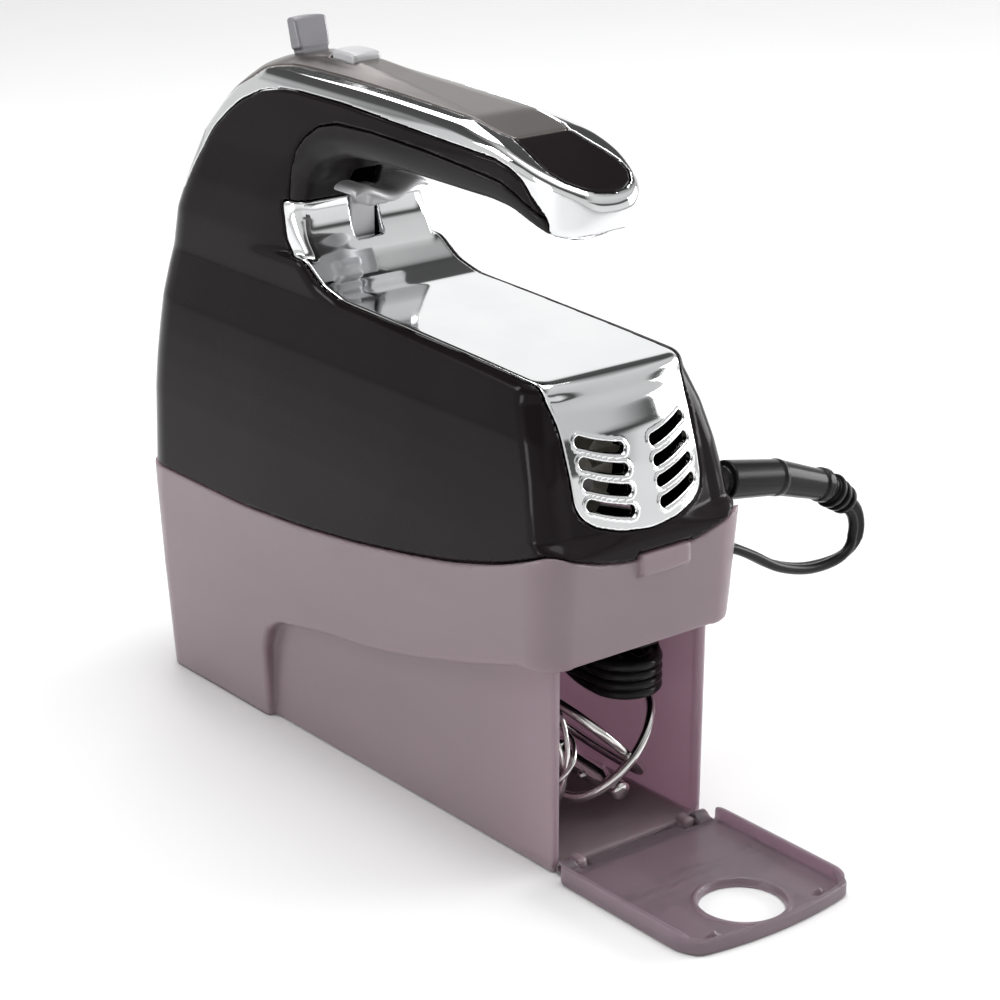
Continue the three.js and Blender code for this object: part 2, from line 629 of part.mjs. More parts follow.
function brush(side) {
  const [y0, y1] = [COMMUTATOR.radius + 0.5, 22].map((y) => y * side).sort((a, b) => a - b);
  return block([33.3, y0, AXIS_Z - 2.7], [38.7, y1, AXIS_Z + 2.7]);
}

function brushHolder(side) {
  const [y0, y1] = [11, 26].map((y) => y * side).sort((a, b) => a - b);
  const tube = block([31.5, y0, AXIS_Z - 4.6], [40.5, y1, AXIS_Z + 4.6]);
  return cut(tube, block([33, y0 - 1, AXIS_Z - 3], [39, y1 + 1, AXIS_Z + 3]));
}

const FAN = { x0: 61, x1: 71, radius: 21.5, blades: 9 };

function coolingFan() {
  const disc = sleeve(MOTOR_CENTRE, AXES.x, FAN.radius, BORE, FAN.x0, FAN.x0 + 1.6);
  const hub = sleeve(MOTOR_CENTRE, AXES.x, 7, BORE, FAN.x0, FAN.x1);
  const blades = Array.from({ length: FAN.blades }, (_, i) => {
    const blade = new THREE.BoxGeometry(FAN.x1 - FAN.x0 - 0.6, 1.3, FAN.radius - 7);
    blade.translate((FAN.x0 + FAN.x1) / 2 - 0.3, 0, (FAN.radius + 6) / 2);
    blade.rotateX((2 * Math.PI * i) / FAN.blades);
    blade.translate(0, 0, AXIS_Z);
    return toSolid(blade);
  });
  return join(disc, hub, ...blades);
}

const REAR_BEARING = { x0: 47, x1: 54 };
const FRONT_BEARING = { x0: -44, x1: -37 };

function bearing({ x0, x1 }) {
  return sleeve(MOTOR_CENTRE, AXES.x, 8, BORE, x0, x1, 20);
}

function rearBracket() {
  const plate = block([48.5, -24, AXIS_Z - 22], [51.5, 24, AXIS_Z + 22]);
  const legs = [-1, 1].flatMap((sy) => [-1, 1].map((sz) => block(
    [STATOR.x1 + GAP, sy * 21 - 2.5, AXIS_Z + sz * 19.5 - 2.5],
    [49, sy * 21 + 2.5, AXIS_Z + sz * 19.5 + 2.5],
  )));
  const bore = bar([45, 0, AXIS_Z], [55, 0, AXIS_Z], 8 + GAP, 20);
  return cut(join(plate, ...legs), bore);
}

add('stator_core', stator(), IRON);
add('field_coil_upper', fieldCoil(1), COPPER);
add('field_coil_lower', fieldCoil(-1), COPPER);
add('motor_shaft', motorShaft(), STEEL);
add('armature_core', armatureCore(), IRON);
add(
  'commutator',
  sleeve(MOTOR_CENTRE, AXES.x, COMMUTATOR.radius, BORE, COMMUTATOR.x0, COMMUTATOR.x1),
  COPPER,
);
add('cooling_fan', coolingFan(), NYLON);
add('front_bearing', bearing(FRONT_BEARING), BRASS);
add('rear_bearing', bearing(REAR_BEARING), BRASS);
add('rear_bracket', rearBracket(), STEEL);
for (const [label, side] of [['right', -1], ['left', 1]]) {
  add(`brush_holder_${label}`, brushHolder(side), BRASS);
  add(`carbon_brush_${label}`, brush(side), IRON);
}

// ---------------------------------------------------------------- gearbox
const FRAME_Z = 87;
const GEAR_TEETH = 20;
const GEAR_TIP = SPINDLE_Y - WORM_RADIUS - GAP;
const GEAR_ROOT = GEAR_TIP - 1.6;
const SPINDLE_TOP = 112;

function gearboxFrame() {
  const plate = planSlab(roundedPlan(-84, -34, 26, 9, 3, 3), FRAME_Z, FRAME_Z + 3);
  const post = block([-44.5, -12, FRAME_Z + 1], [-36.5, 12, SPINDLE_TOP]);
  const rails = [-19, 19].map((y) => (
    block([-37, y - 2, FRAME_Z - 2], [STATOR.x0 - GAP, y + 2, FRAME_Z + 3])
  ));
  const bearingBore = bar([-50, 0, AXIS_Z], [-30, 0, AXIS_Z], 8 + GAP, 20);
  const spindleBores = [-1, 1].map((side) => (
    bar([SPINDLE_X, side * SPINDLE_Y, 80], [SPINDLE_X, side * SPINDLE_Y, 95], 7.9, 20)
  ));
  return cut(join(plate, post, ...rails), bearingBore, ...spindleBores);
}

function spindle(side) {
  const centre = [SPINDLE_X, side * SPINDLE_Y, 0];
  const tube = sleeve(centre, AXES.z, 5.6, 3.4, BASE_Z - 1.2, 104, 20);
  const top = sleeve(centre, AXES.z, 5.6, 2.5, 103.5, SPINDLE_TOP, 20);
  return join(tube, top);
}

function spindleGear(side) {
  const outline = [];
  for (let i = 0; i < GEAR_TEETH; i += 1) {
    const middle = (2 * Math.PI * i) / GEAR_TEETH;
    const tooth = [[-0.1, GEAR_ROOT], [-0.05, GEAR_TIP], [0.05, GEAR_TIP], [0.1, GEAR_ROOT]];
    for (const [turn, radius] of tooth) {
      outline.push([
        SPINDLE_X + radius * Math.cos(middle + turn),
        side * SPINDLE_Y + radius * Math.sin(middle + turn),
      ]);
    }
  }
  const blank = planSlab(outline, AXIS_Z - 4, AXIS_Z + 4);
  return cut(blank, bar([SPINDLE_X, side * SPINDLE_Y, 90], [SPINDLE_X, side * SPINDLE_Y, 110], 5.9, 20));
}

add('gearbox_frame', gearboxFrame(), STEEL);
for (const [label, side] of [['right', -1], ['left', 1]]) {
  const centre = [SPINDLE_X, side * SPINDLE_Y, 0];
  add(`spindle_${label}`, spindle(side), STEEL);
  add(`spindle_gear_${label}`, spindleGear(side), NYLON);
  add(`spindle_bush_${label}`, sleeve(centre, AXES.z, 7.6, 5.9, FRAME_Z - 1, FRAME_Z + 3.5, 20), BRASS);
}

// ---------------------------------------------------------------- eject lever
const STEM = { x0: -29.2, x1: -25.2, half: 4.4 }; // it slides in a slot of the neck's wall
const PLATE_Z = 123;

function ejectLever() {
  const wing = frontSlab([
    [-13, 166.4], [-9.5, 166.4], [-4, 163.9], [0, 163.4], [4, 163.9], [9.5, 166.4], [13, 166.4],
    [13, 168.6], [9, 168.8], [4, 166.5], [0, 166], [-4, 166.5], [-9, 168.8], [-13, 168.6],
  ], -22, -10);
  const stem = block([STEM.x0, -STEM.half, PLATE_Z + 3], [STEM.x1, STEM.half, 165]);
  const bridge = block([STEM.x0, -STEM.half, 160.4], [-17, STEM.half, 165]);
  return join(wing, stem, bridge);
}

function ejectPlate() {
  const plate = planSlab(roundedPlan(-68, STEM.x1, 20, 4, 4, 2), PLATE_Z, PLATE_Z + 2.5);
  const rods = [-1, 1].map((side) => bar(
    [SPINDLE_X, side * SPINDLE_Y, 105.5],
    [SPINDLE_X, side * SPINDLE_Y, PLATE_Z + 1],
    1.9,
    12,
  ));
  return join(plate, ...rods);
}

// A helical spring standing on a floor point.
function spring([x, y, z], radius, height, turns, wireRadius) {
  const steps = turns * 8;
  const points = Array.from({ length: steps + 1 }, (_, i) => {
    const angle = (2 * Math.PI * turns * i) / steps;
    return [x + radius * Math.cos(angle), y + radius * Math.sin(angle), z + (height * i) / steps];
  });
  return wire(points, wireRadius, 5, steps);
}

add('eject_lever', ejectLever(), SILVER);
add('eject_plate', ejectPlate(), NYLON);
add('eject_spring', spring([-40.5, 0, SPINDLE_TOP + 0.9], 4, PLATE_Z - SPINDLE_TOP - 1.8, 4, 0.5), STEEL);

// ---------------------------------------------------------------- speed lever and switches
const LEVER_PADDLE = { half: 5.8, thick: 2.5, base: 57, top: 66.8 };

function speedLever() {
  const arm = block([-2.4, -2.4, 2], [2.4, 2.4, LEVER_PADDLE.base + 1]);
  const hub = bar([0, -5, 0], [0, 5, 0], 4.6, 14);
  const paddle = frontSlab([
    [-LEVER_PADDLE.half, LEVER_PADDLE.base], [LEVER_PADDLE.half, LEVER_PADDLE.base],
    [LEVER_PADDLE.half - 0.4, LEVER_PADDLE.top - 1.2], [LEVER_PADDLE.half - 1.6, LEVER_PADDLE.top],
    [1.6 - LEVER_PADDLE.half, LEVER_PADDLE.top], [0.4 - LEVER_PADDLE.half, LEVER_PADDLE.top - 1.2],
  ], -LEVER_PADDLE.thick, LEVER_PADDLE.thick);
  return cut(join(arm, hub, paddle), bar([0, -6, 0], [0, 6, 0], 2.1, 12));
}

function speedSwitch() {
  const [x, , z] = LEVER_PIVOT;
  const base = block([x - 14, -11, 128.5], [x + 6, 11, 138.5]);
  const cheeks = [-1, 1].map((side) => block([x - 5, side * 8 - 1.7, 138], [x + 4.5, side * 8 + 1.7, 151]));
  return cut(join(base, ...cheeks), bar([x, -12, z], [x, 12, z], 2.1, 12));
}

function burstButton() {
  const { x, half, width } = BUTTON;
  const cap = block([x - half, -width, 197], [x + half, width, 204.7]);
  const flange = block([x - half - 2, -width - 1.6, 195.6], [x + half + 2, width + 1.6, 197.8]);
  const stem = block([x - 1.8, -1.8, 189.4], [x + 1.8, 1.8, 196]);
  return join(cap, flange, stem);
}

const lever = add('speed_lever', speedLever(), SILVER);
lever.position.set(...LEVER_PIVOT);
lever.rotation.y = THREE.MathUtils.degToRad(-LEVER_REST);
add('lever_pin', bar(
  [LEVER_PIVOT[0], -10.5, LEVER_PIVOT[2]],
  [LEVER_PIVOT[0], 10.5, LEVER_PIVOT[2]],
  1.75,
  12,
), STEEL);
add('speed_switch', speedSwitch(), SATIN_BLACK);
add('burst_button', burstButton(), SILVER);
add('button_spring', spring([BUTTON.x, 0, 187.3], 3.4, 7.6, 4, 0.4), STEEL);
add('burst_switch', block([BUTTON.x - 7, -7, 181.6], [BUTTON.x + 7, 7, 186.5]), SATIN_BLACK);
add('control_board', block([-90, -15, 118], [-88.4, 15, 148]), BOARD);

// ---------------------------------------------------------------- cord
const BOOT_MIDDLE = [92, 56, 95.4];
const BOOT_END = [92, 75, 88.8];
const NECK_END = [92, 84.6, 81.6];

function cordBoot() {
  const [x, y, z] = BOOT;
  return join(
    bar([x, y - 7.9, z], [x, y - 5.9, z], 4.8, 16),
    bar([x, y - 6.3, z], [x, y + 1.5, z], 3.9, 16),
    bar([x, y + 0.7, z], BOOT_MIDDLE, 5.6, 16, 5.1),
    bar([x, BOOT_MIDDLE[1] - 0.4, BOOT_MIDDLE[2] + 0.1], BOOT_END, 5.1, 16, 4.4),
  );
}

function cordNeck() {
  const along = (share) => BOOT_END.map((value, i) => value + (NECK_END[i] - value) * share);
  const ribs = [0.42, 0.8].map((share) => bar(along(share - 0.08), along(share + 0.08), 5, 14));
  return join(bar(along(0.15), along(1), 3.7, 14), ...ribs);
}

const CORD_ROUTE = [
  [92, 86, 80.4], [92, 89.4, 75], [92, 88, 68.6], [92, 81, 64.9], [92, 69, 64.9], [92, 57, 68.6],
  [92, 46, 75], [92, 37.5, 79], [91.6, 30.6, 78.8], [90.8, 25.2, 75.4], [90, 22.4, 70.6],
  [89.2, 20.6, 65],
];
const HANK = { x0: -2, x1: 90, y: 12, half: 10.7, z0: 39.6, z1: 63.4 };
const PLUG = { x0: -26, x1: -2.6, y: 12, z: 52 };

function plugBody() {
  const grip = block([PLUG.x0, PLUG.y - 8.5, PLUG.z - 6], [PLUG.x1 - 8.4, PLUG.y + 8.5, PLUG.z + 6]);
  const relief = bar([PLUG.x1 - 8.9, PLUG.y, PLUG.z], [PLUG.x1, PLUG.y, PLUG.z], 4.2, 12, 3.2);
  return join(grip, relief);
}

add('cord_boot', cordBoot(), RUBBER);
add('cord_neck', cordNeck(), RUBBER);
add('power_cord', wire(CORD_ROUTE, CORD_RADIUS, 8, 26), RUBBER);
add('cord_hank', planSlab(
  roundedPlan(HANK.x0, HANK.x1, HANK.half, HANK.half - 0.3, HANK.half - 0.3, 5)
    .map(([x, y]) => [x, y + HANK.y]),
  HANK.z0,
  HANK.z1,
), RUBBER);
add('plug', plugBody(), RUBBER);
for (const [label, side] of [['right', -1], ['left', 1]]) {
  const y = PLUG.y + side * 6.35;
  add(`plug_blade_${label}`, block(
    [PLUG.x0 - 17, y - 0.75, PLUG.z - 3.2],
    [PLUG.x0 - GAP, y + 0.75, PLUG.z + 3.2],
  ), BRASS);
}

// ---------------------------------------------------------------- beaters and whisk
// Attachments are made along +X with the driven end at the origin, then laid in the case.
const BEATER = { shaft: 108, radius: 3, head: 52, spread: 19.6, bar: 1.4 };

// One closed loop of a beater or whisk, from the hub out to the tip and back, in the plane at an angle.
function loop(profile, angle, flatY, radius, sides, steps) {
  const place = ([along, out]) => [along, out * Math.cos(angle) * flatY, out * Math.sin(angle)];
  const there = profile.map(place);
  const back = profile.slice(0, -1).map(([along, out]) => place([along, -out])).reverse();
  return wire([...there, ...back], radius, sides, steps);
}

function beater() {
  const { shaft, radius, head, spread } = BEATER;
  const loops = [45, 135].map((angle, i) => {
    const tip = head - i * 2.4;
    return loop([
      [shaft - 4, 1.6], [shaft + 2, 3], [shaft + 8, 10], [shaft + 14, 16.5], [shaft + 22, spread],
      [shaft + 34, spread], [shaft + tip - 8, 17.4], [shaft + tip - 2, 10], [shaft + tip, 0],
    ], THREE.MathUtils.degToRad(angle), 1, BEATER.bar, 6, 26);
  });
  const rod = bar([0, 0, 0], [shaft, 0, 0], radius, 12);
  const collar = bar([26, 0, 0], [29, 0, 0], 4.6, 12);
  const hub = bar([shaft - 5, 0, 0], [shaft + 3, 0, 0], 4, 12);
  return join(rod, collar, hub, ...loops);
}

const WHISK = { shaft: 74, hub: 16, head: 72, spread: 19, flat: 0.4, wire: 0.75, loops: 4 };

function whiskWires() {
  const start = WHISK.shaft + WHISK.hub;
  const loops = Array.from({ length: WHISK.loops }, (_, i) => {
    const tip = WHISK.head - i * 1.3;
    return loop([
      [start - 5, 2.6], [start + 4, 4], [start + 22, 10.5], [start + 40, 16.6], [start + 54, WHISK.spread],
      [start + tip - 6, 15], [start + tip - 1, 7], [start + tip, 0],
    ], (Math.PI * (i + 0.5)) / WHISK.loops, WHISK.flat, WHISK.wire, 5, 18);
  });
  return join(...loops);
}

function whisk() {
  const rod = bar([0, 0, 0], [WHISK.shaft + 2, 0, 0], 3, 12);
  const hub = bar([WHISK.shaft, 0, 0], [WHISK.shaft + WHISK.hub, 0, 0], 4.4, 14, 5.2);
  const collar = bar([26, 0, 0], [29, 0, 0], 4.6, 12);
  return join(rod, hub, collar, whiskWires());
}

function lay(name, solid, position, yaw, pitch) {
  const mesh = add(name, solid, CHROME);
  mesh.position.set(...position);
  mesh.rotation.set(0, THREE.MathUtils.degToRad(-pitch), THREE.MathUtils.degToRad(yaw), 'ZYX');
}

lay('beater_1', beater(), [-72, 8.4, 31], 0, -3.4);
lay('beater_2', beater(), [84, 8.4, 9.4], 180, 4.75);
lay('whisk', whisk(), [-74, -15, 25], 0, 0);

export default assembly;
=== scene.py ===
import math

import bmesh
import bpy
import numpy as np
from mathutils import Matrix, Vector


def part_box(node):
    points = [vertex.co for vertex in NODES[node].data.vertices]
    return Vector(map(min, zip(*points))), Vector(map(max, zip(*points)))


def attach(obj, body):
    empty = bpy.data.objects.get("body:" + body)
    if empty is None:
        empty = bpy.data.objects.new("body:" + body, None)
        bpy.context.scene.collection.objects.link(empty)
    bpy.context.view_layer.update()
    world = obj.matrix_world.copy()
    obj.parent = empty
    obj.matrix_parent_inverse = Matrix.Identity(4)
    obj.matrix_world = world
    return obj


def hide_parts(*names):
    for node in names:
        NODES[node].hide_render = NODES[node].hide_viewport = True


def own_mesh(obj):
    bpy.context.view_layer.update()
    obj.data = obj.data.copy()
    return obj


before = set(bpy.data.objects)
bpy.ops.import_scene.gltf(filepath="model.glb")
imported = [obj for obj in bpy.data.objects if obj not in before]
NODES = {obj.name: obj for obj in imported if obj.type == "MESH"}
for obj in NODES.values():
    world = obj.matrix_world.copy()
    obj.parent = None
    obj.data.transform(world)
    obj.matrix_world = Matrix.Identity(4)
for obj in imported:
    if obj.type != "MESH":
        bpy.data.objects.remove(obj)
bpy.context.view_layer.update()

# A hand mixer standing on its translucent storage case, with the case's door open.
MM = 0.001  # lengths below are millimetres in the CAD's frame; meshes are stored in metres
SCENE = bpy.context.scene

# ------------------------------------------------------------------ camera
camera_data = bpy.data.cameras.new("camera")
camera_data.lens = 100.8
camera_data.sensor_width = 36
camera = bpy.data.objects.new("camera", camera_data)
SCENE.collection.objects.link(camera)
camera.location = (0.6201, -0.4631, 0.3582)
LOOK_AT = Vector((0.0387, 0.0, 0.0861))
camera.rotation_euler = (LOOK_AT - camera.location).to_track_quat("-Z", "Y").to_euler()
SCENE.camera = camera


# ------------------------------------------------------------------ materials
GRAIN_DEPTH = 0.0001  # metres, the deepest surface grain


def new_material(name):
    made = bpy.data.materials.new(name)
    made.use_nodes = True
    return made, made.node_tree.nodes, made.node_tree.links, made.node_tree.nodes["Principled BSDF"]


def noise(nodes, links, scale, detail=3.0, stretch=(1, 1, 1)):
    place = nodes.new("ShaderNodeTexCoord")
    mapping = nodes.new("ShaderNodeMapping")
    mapping.inputs["Scale"].default_value = stretch
    made = nodes.new("ShaderNodeTexNoise")
    made.inputs["Scale"].default_value = scale
    made.inputs["Detail"].default_value = detail
    links.new(place.outputs["Object"], mapping.inputs["Vector"])
    links.new(mapping.outputs["Vector"], made.inputs["Vector"])
    return made.outputs["Fac"]


def ramp(nodes, links, source, low, high, start=0.35, end=0.65):
    made = nodes.new("ShaderNodeMapRange")
    made.inputs["From Min"].default_value = start
    made.inputs["From Max"].default_value = end
    made.inputs["To Min"].default_value = low
    made.inputs["To Max"].default_value = high
    links.new(source, made.inputs["Value"])
    return made.outputs["Result"]


def two_tone(nodes, links, source, first, second, start=0.35, end=0.65):
    made = nodes.new("ShaderNodeMix")
    made.data_type = "RGBA"
    made.inputs["A"].default_value = (*first, 1)
    made.inputs["B"].default_value = (*second, 1)
    links.new(ramp(nodes, links, source, 0, 1, start, end), made.inputs["Factor"])
    return made.outputs["Result"]


def surface(
    name, first, second, rough, metal=0.0, grain=900.0, bump=0.05, patch=35.0,
    specular=0.5, stretch=(1, 1, 1),
):
    """A plastic, paint or metal: two close tones in soft patches, uneven gloss and a fine grain."""
    made, nodes, links, shader = new_material(name)
    patches = noise(nodes, links, patch, 4.0)
    fine = noise(nodes, links, grain, 2.0, stretch)
    links.new(two_tone(nodes, links, patches, first, second), shader.inputs["Base Color"])
    mixed = nodes.new("ShaderNodeMath")
    mixed.operation = "MULTIPLY_ADD"
    mixed.inputs[1].default_value = 0.5
    links.new(fine, mixed.inputs[0])
    links.new(ramp(nodes, links, patches, 0.1, 0.4), mixed.inputs[2])
    links.new(ramp(nodes, links, mixed.outputs[0], rough[0], rough[1], 0.2, 0.8), shader.inputs["Roughness"])
    relief = nodes.new("ShaderNodeBump")
    relief.inputs["Strength"].default_value = bump
    relief.inputs["Distance"].default_value = GRAIN_DEPTH
    links.new(fine, relief.inputs["Height"])
    links.new(relief.outputs["Normal"], shader.inputs["Normal"])
    shader.inputs["Metallic"].default_value = metal
    shader.inputs["Specular IOR Level"].default_value = specular
    return made


GLOSS_BLACK = surface(
    "gloss_black", (0.0090, 0.0068, 0.0074), (0.0115, 0.0088, 0.0096), (0.13, 0.17),
    grain=260, bump=0.02, specular=0.11,
)
COVER_BLACK = surface(
    "cover_black", (0.0090, 0.0074, 0.0074), (0.0115, 0.0096, 0.0096), (0.28, 0.32),
    grain=1500, bump=0.05, specular=0.2,
)
# Painted sheen: the handle's glossy black top cover gets a lighter grey-brown metallic base that stands in
# for the light it reflects from above.
COVER_PAINTED_SHEEN = surface(
    "cover_painted_sheen", (0.150, 0.136, 0.131), (0.165, 0.149, 0.143), (0.28, 0.31), metal=0.8,
    grain=2400, bump=0.03, specular=0.4,
)
SATIN_BLACK = surface(
    "satin_black", (0.011, 0.0095, 0.0095), (0.016, 0.014, 0.014), (0.3, 0.42), grain=1800, bump=0.12,
)
CHROME = surface(
    "chrome", (0.80, 0.81, 0.82), (0.86, 0.865, 0.87), (0.03, 0.06), metal=1, grain=200, bump=0.02,
)
BRUSHED_CHROME = surface(
    "brushed_chrome", (0.80, 0.81, 0.82), (0.86, 0.865, 0.87), (0.06, 0.09), metal=1, grain=200, bump=0.02,
)
WIRE_CHROME = surface(
    "wire_chrome", (0.70, 0.69, 0.67), (0.82, 0.81, 0.80), (0.06, 0.16), metal=1, grain=700, bump=0.05,
)
# One silver paint in two copies toned to the light each part gets: the speed tab's copy is darkened as
# painted shade, the burst key's and eject wing's copy is lightened as painted light.
SILVER_PAINTED_SHADE = surface(
    "silver", (0.23, 0.225, 0.24), (0.27, 0.262, 0.28), (0.3, 0.38), metal=0.35, grain=3000, bump=0.08,
)
SILVER_PAINTED_LIGHT = surface(
    "silver_painted_light", (0.47, 0.47, 0.48), (0.53, 0.53, 0.54), (0.34, 0.42), metal=0.3, grain=3000, bump=0.06,
)
STEEL = surface(
    "steel", (0.42, 0.42, 0.43), (0.55, 0.55, 0.56), (0.22, 0.38), metal=1, grain=900, bump=0.15,
    stretch=(1, 6, 6),
)
IRON = surface(
    "laminated_iron", (0.10, 0.10, 0.105), (0.19, 0.185, 0.18), (0.4, 0.6), metal=0.9, grain=1400, bump=0.5,
    stretch=(8, 0.4, 0.4),
)
COPPER = surface(
    "enamelled_copper", (0.42, 0.16, 0.07), (0.58, 0.25, 0.11), (0.2, 0.36), metal=0.9, grain=1600, bump=0.6,
    stretch=(0.4, 1, 8),
)
BRASS = surface(
    "brass", (0.55, 0.39, 0.16), (0.66, 0.48, 0.22), (0.2, 0.36), metal=1, grain=1100, bump=0.12,
)
NYLON = surface(
    "nylon", (0.62, 0.59, 0.50), (0.72, 0.69, 0.60), (0.38, 0.52), grain=1200, bump=0.1,
)
CARBON = surface(
    "carbon", (0.02, 0.02, 0.021), (0.035, 0.035, 0.037), (0.5, 0.7), grain=4000, bump=0.3,
)
BOARD = surface(
    "board", (0.03, 0.12, 0.05), (0.045, 0.17, 0.07), (0.3, 0.5), grain=2500, bump=0.2,
)
VINYL = surface(
    "cord_vinyl", (0.0075, 0.007, 0.0072), (0.011, 0.0105, 0.0106), (0.19, 0.26),
    grain=1500, bump=0.1, specular=0.18,
)


def smoky(name, first, second, rough, clear):
    """Moulded translucent plastic with a satin surface and faint flow marks."""
    made, nodes, links, shader = new_material(name)
    flow = noise(nodes, links, 18.0, 3.0, (0.6, 1, 1.6))
    fine = noise(nodes, links, 2600.0, 2.0)
    links.new(two_tone(nodes, links, flow, first, second, 0.3, 0.7), shader.inputs["Base Color"])
    links.new(ramp(nodes, links, flow, rough[0], rough[1]), shader.inputs["Roughness"])
    relief = nodes.new("ShaderNodeBump")
    relief.inputs["Strength"].default_value = 0.12
    relief.inputs["Distance"].default_value = GRAIN_DEPTH
    links.new(fine, relief.inputs["Height"])
    links.new(relief.outputs["Normal"], shader.inputs["Normal"])
    shader.inputs["Transmission Weight"].default_value = clear
    shader.inputs["Subsurface Weight"].default_value = 0.5
    shader.inputs["Subsurface Radius"].default_value = (0.012, 0.009, 0.0105)
    shader.inputs["Subsurface Scale"].default_value = 1.0
    shader.inputs["IOR"].default_value = 1.49
    shader.inputs["Specular IOR Level"].default_value = 0.5
    return made


SMOKY = smoky("smoky_case", (0.33, 0.252, 0.280), (0.37, 0.284, 0.313), (0.29, 0.35), 0.35)
SMOKY_DOOR = smoky("smoky_door", (0.19, 0.148, 0.168), (0.225, 0.175, 0.198), (0.285, 0.34), 0.4)


# ------------------------------------------------------------------ smooth solids from distance fields
class Field:
    """A signed distance, negative inside: on a grid from its axes, and at points with its slope."""

    def __init__(self, grid, at):
        self.grid = grid
        self.at = at


def _soft(a, b, k):
    """The greater of two distances, with its edge rounded over k, and the first one's share of it."""
    share = np.clip(0.5 + 0.5 * (a - b) / k, 0, 1)
    return b + (a - b) * share + k * share * (1 - share), share


def both(a, b, k=0.5):
    def at(points):
        (va, ga), (vb, gb) = a.at(points), b.at(points)
        value, share = _soft(va, vb, k)
        return value, gb + (ga - gb) * share[:, None]

    return Field(lambda x, y, z: _soft(a.grid(x, y, z), b.grid(x, y, z), k)[0], at)


def outside(a):
    def at(points):
        value, slope = a.at(points)
        return -value, -slope

    return Field(lambda x, y, z: -a.grid(x, y, z), at)


def grown(a, distance):
    def at(points):
        value, slope = a.at(points)
        return value - distance, slope

    return Field(lambda x, y, z: a.grid(x, y, z) - distance, at)


def either(a, b, k=0.5):
    return outside(both(outside(a), outside(b), k))


def minus(a, *tools, k=0.5):
    for tool in tools:
        a = both(a, outside(tool), k)
    return a


def formula(f):
    """A field from a plain function of x, y and z."""

    def at(points):
        x, y, z = points.T
        step = 0.01
        slope = np.stack([
            f(x + step, y, z) - f(x - step, y, z),
            f(x, y + step, z) - f(x, y - step, z),
            f(x, y, z + step) - f(x, y, z - step),
        ], axis=1) / (2 * step)
        return f(x, y, z), slope

    return Field(f, at)


def box(low, high, radius=0.6):
    centre = [(a + b) / 2 for a, b in zip(low, high)]
    half = [(b - a) / 2 - radius for a, b in zip(low, high)]

    def f(x, y, z):
        q = [np.abs(v - c) - h for v, c, h in zip((x, y, z), centre, half)]
        out = np.sqrt(sum(np.maximum(v, 0) ** 2 for v in q))
        return out + np.minimum(np.maximum(np.maximum(q[0], q[1]), q[2]), 0) - radius

    return formula(f)


def rod(start, end, radius, end_radius=None):
    """A round bar between two points with flat ends."""
    a, b = np.array(start, float), np.array(end, float)
    length = float(np.linalg.norm(b - a))
    d = (b - a) / length
    slope = 0.0 if end_radius is None else (end_radius - radius) / length

    def f(x, y, z):
        along = (x - a[0]) * d[0] + (y - a[1]) * d[1] + (z - a[2]) * d[2]
        square = (x - a[0]) ** 2 + (y - a[1]) ** 2 + (z - a[2]) ** 2 - along ** 2
        side = np.sqrt(np.maximum(square, 1e-9)) - (radius + slope * along)
        return _soft(side, np.abs(along - length / 2) - length / 2, 0.6)[0]

    return formula(f)


def blurred(values, sigma, axes):
    """Gaussian blur along the given axes, with the edge values carried on outside."""
    reach = int(math.ceil(3 * sigma))
    weights = np.exp(-0.5 * (np.arange(-reach, reach + 1) / sigma) ** 2)
    weights /= weights.sum()
    for axis in axes:
        padding = [(0, 0)] * values.ndim
        padding[axis] = (reach, reach)
        wide = np.pad(values, padding, mode="edge")
        total = np.zeros_like(values)
        for i, weight in enumerate(weights):
            cut = [slice(None)] * values.ndim
            cut[axis] = slice(i, i + values.shape[axis])
            total += weight * wide[tuple(cut)]
        values = total
    return values


def cubic(t):
    """Catmull-Rom weights and their slopes for the four neighbours of a place between samples."""
    weights = [
        -0.5 * t + t * t - 0.5 * t ** 3,
        1 - 2.5 * t * t + 1.5 * t ** 3,
        0.5 * t + 2 * t * t - 1.5 * t ** 3,
        -0.5 * t * t + 0.5 * t ** 3,
    ]
    slopes = [
        -0.5 + 2 * t - 1.5 * t * t,
        -5 * t + 4.5 * t * t,
        0.5 + 4 * t - 4.5 * t * t,
        -t + 1.5 * t * t,
    ]
    return weights, slopes


def polygon_distance(points, u, v):
    """Signed distance from every (u, v) of a grid to a closed polygon."""
    u, v = np.broadcast_arrays(u, v)
    best = np.full(u.shape, 1e9)
    inside = np.zeros(u.shape, bool)
    for (au, av), (bu, bv) in zip(points, points[1:] + points[:1]):
        du, dv = bu - au, bv - av
        t = np.clip(((u - au) * du + (v - av) * dv) / (du * du + dv * dv), 0, 1)
        best = np.minimum(best, (u - au - t * du) ** 2 + (v - av - t * dv) ** 2)
        if av != bv:
            crosses = (av > v) != (bv > v)
            inside ^= crosses & (u < au + (v - av) / dv * du)
    return np.where(inside, -1, 1) * np.sqrt(best)


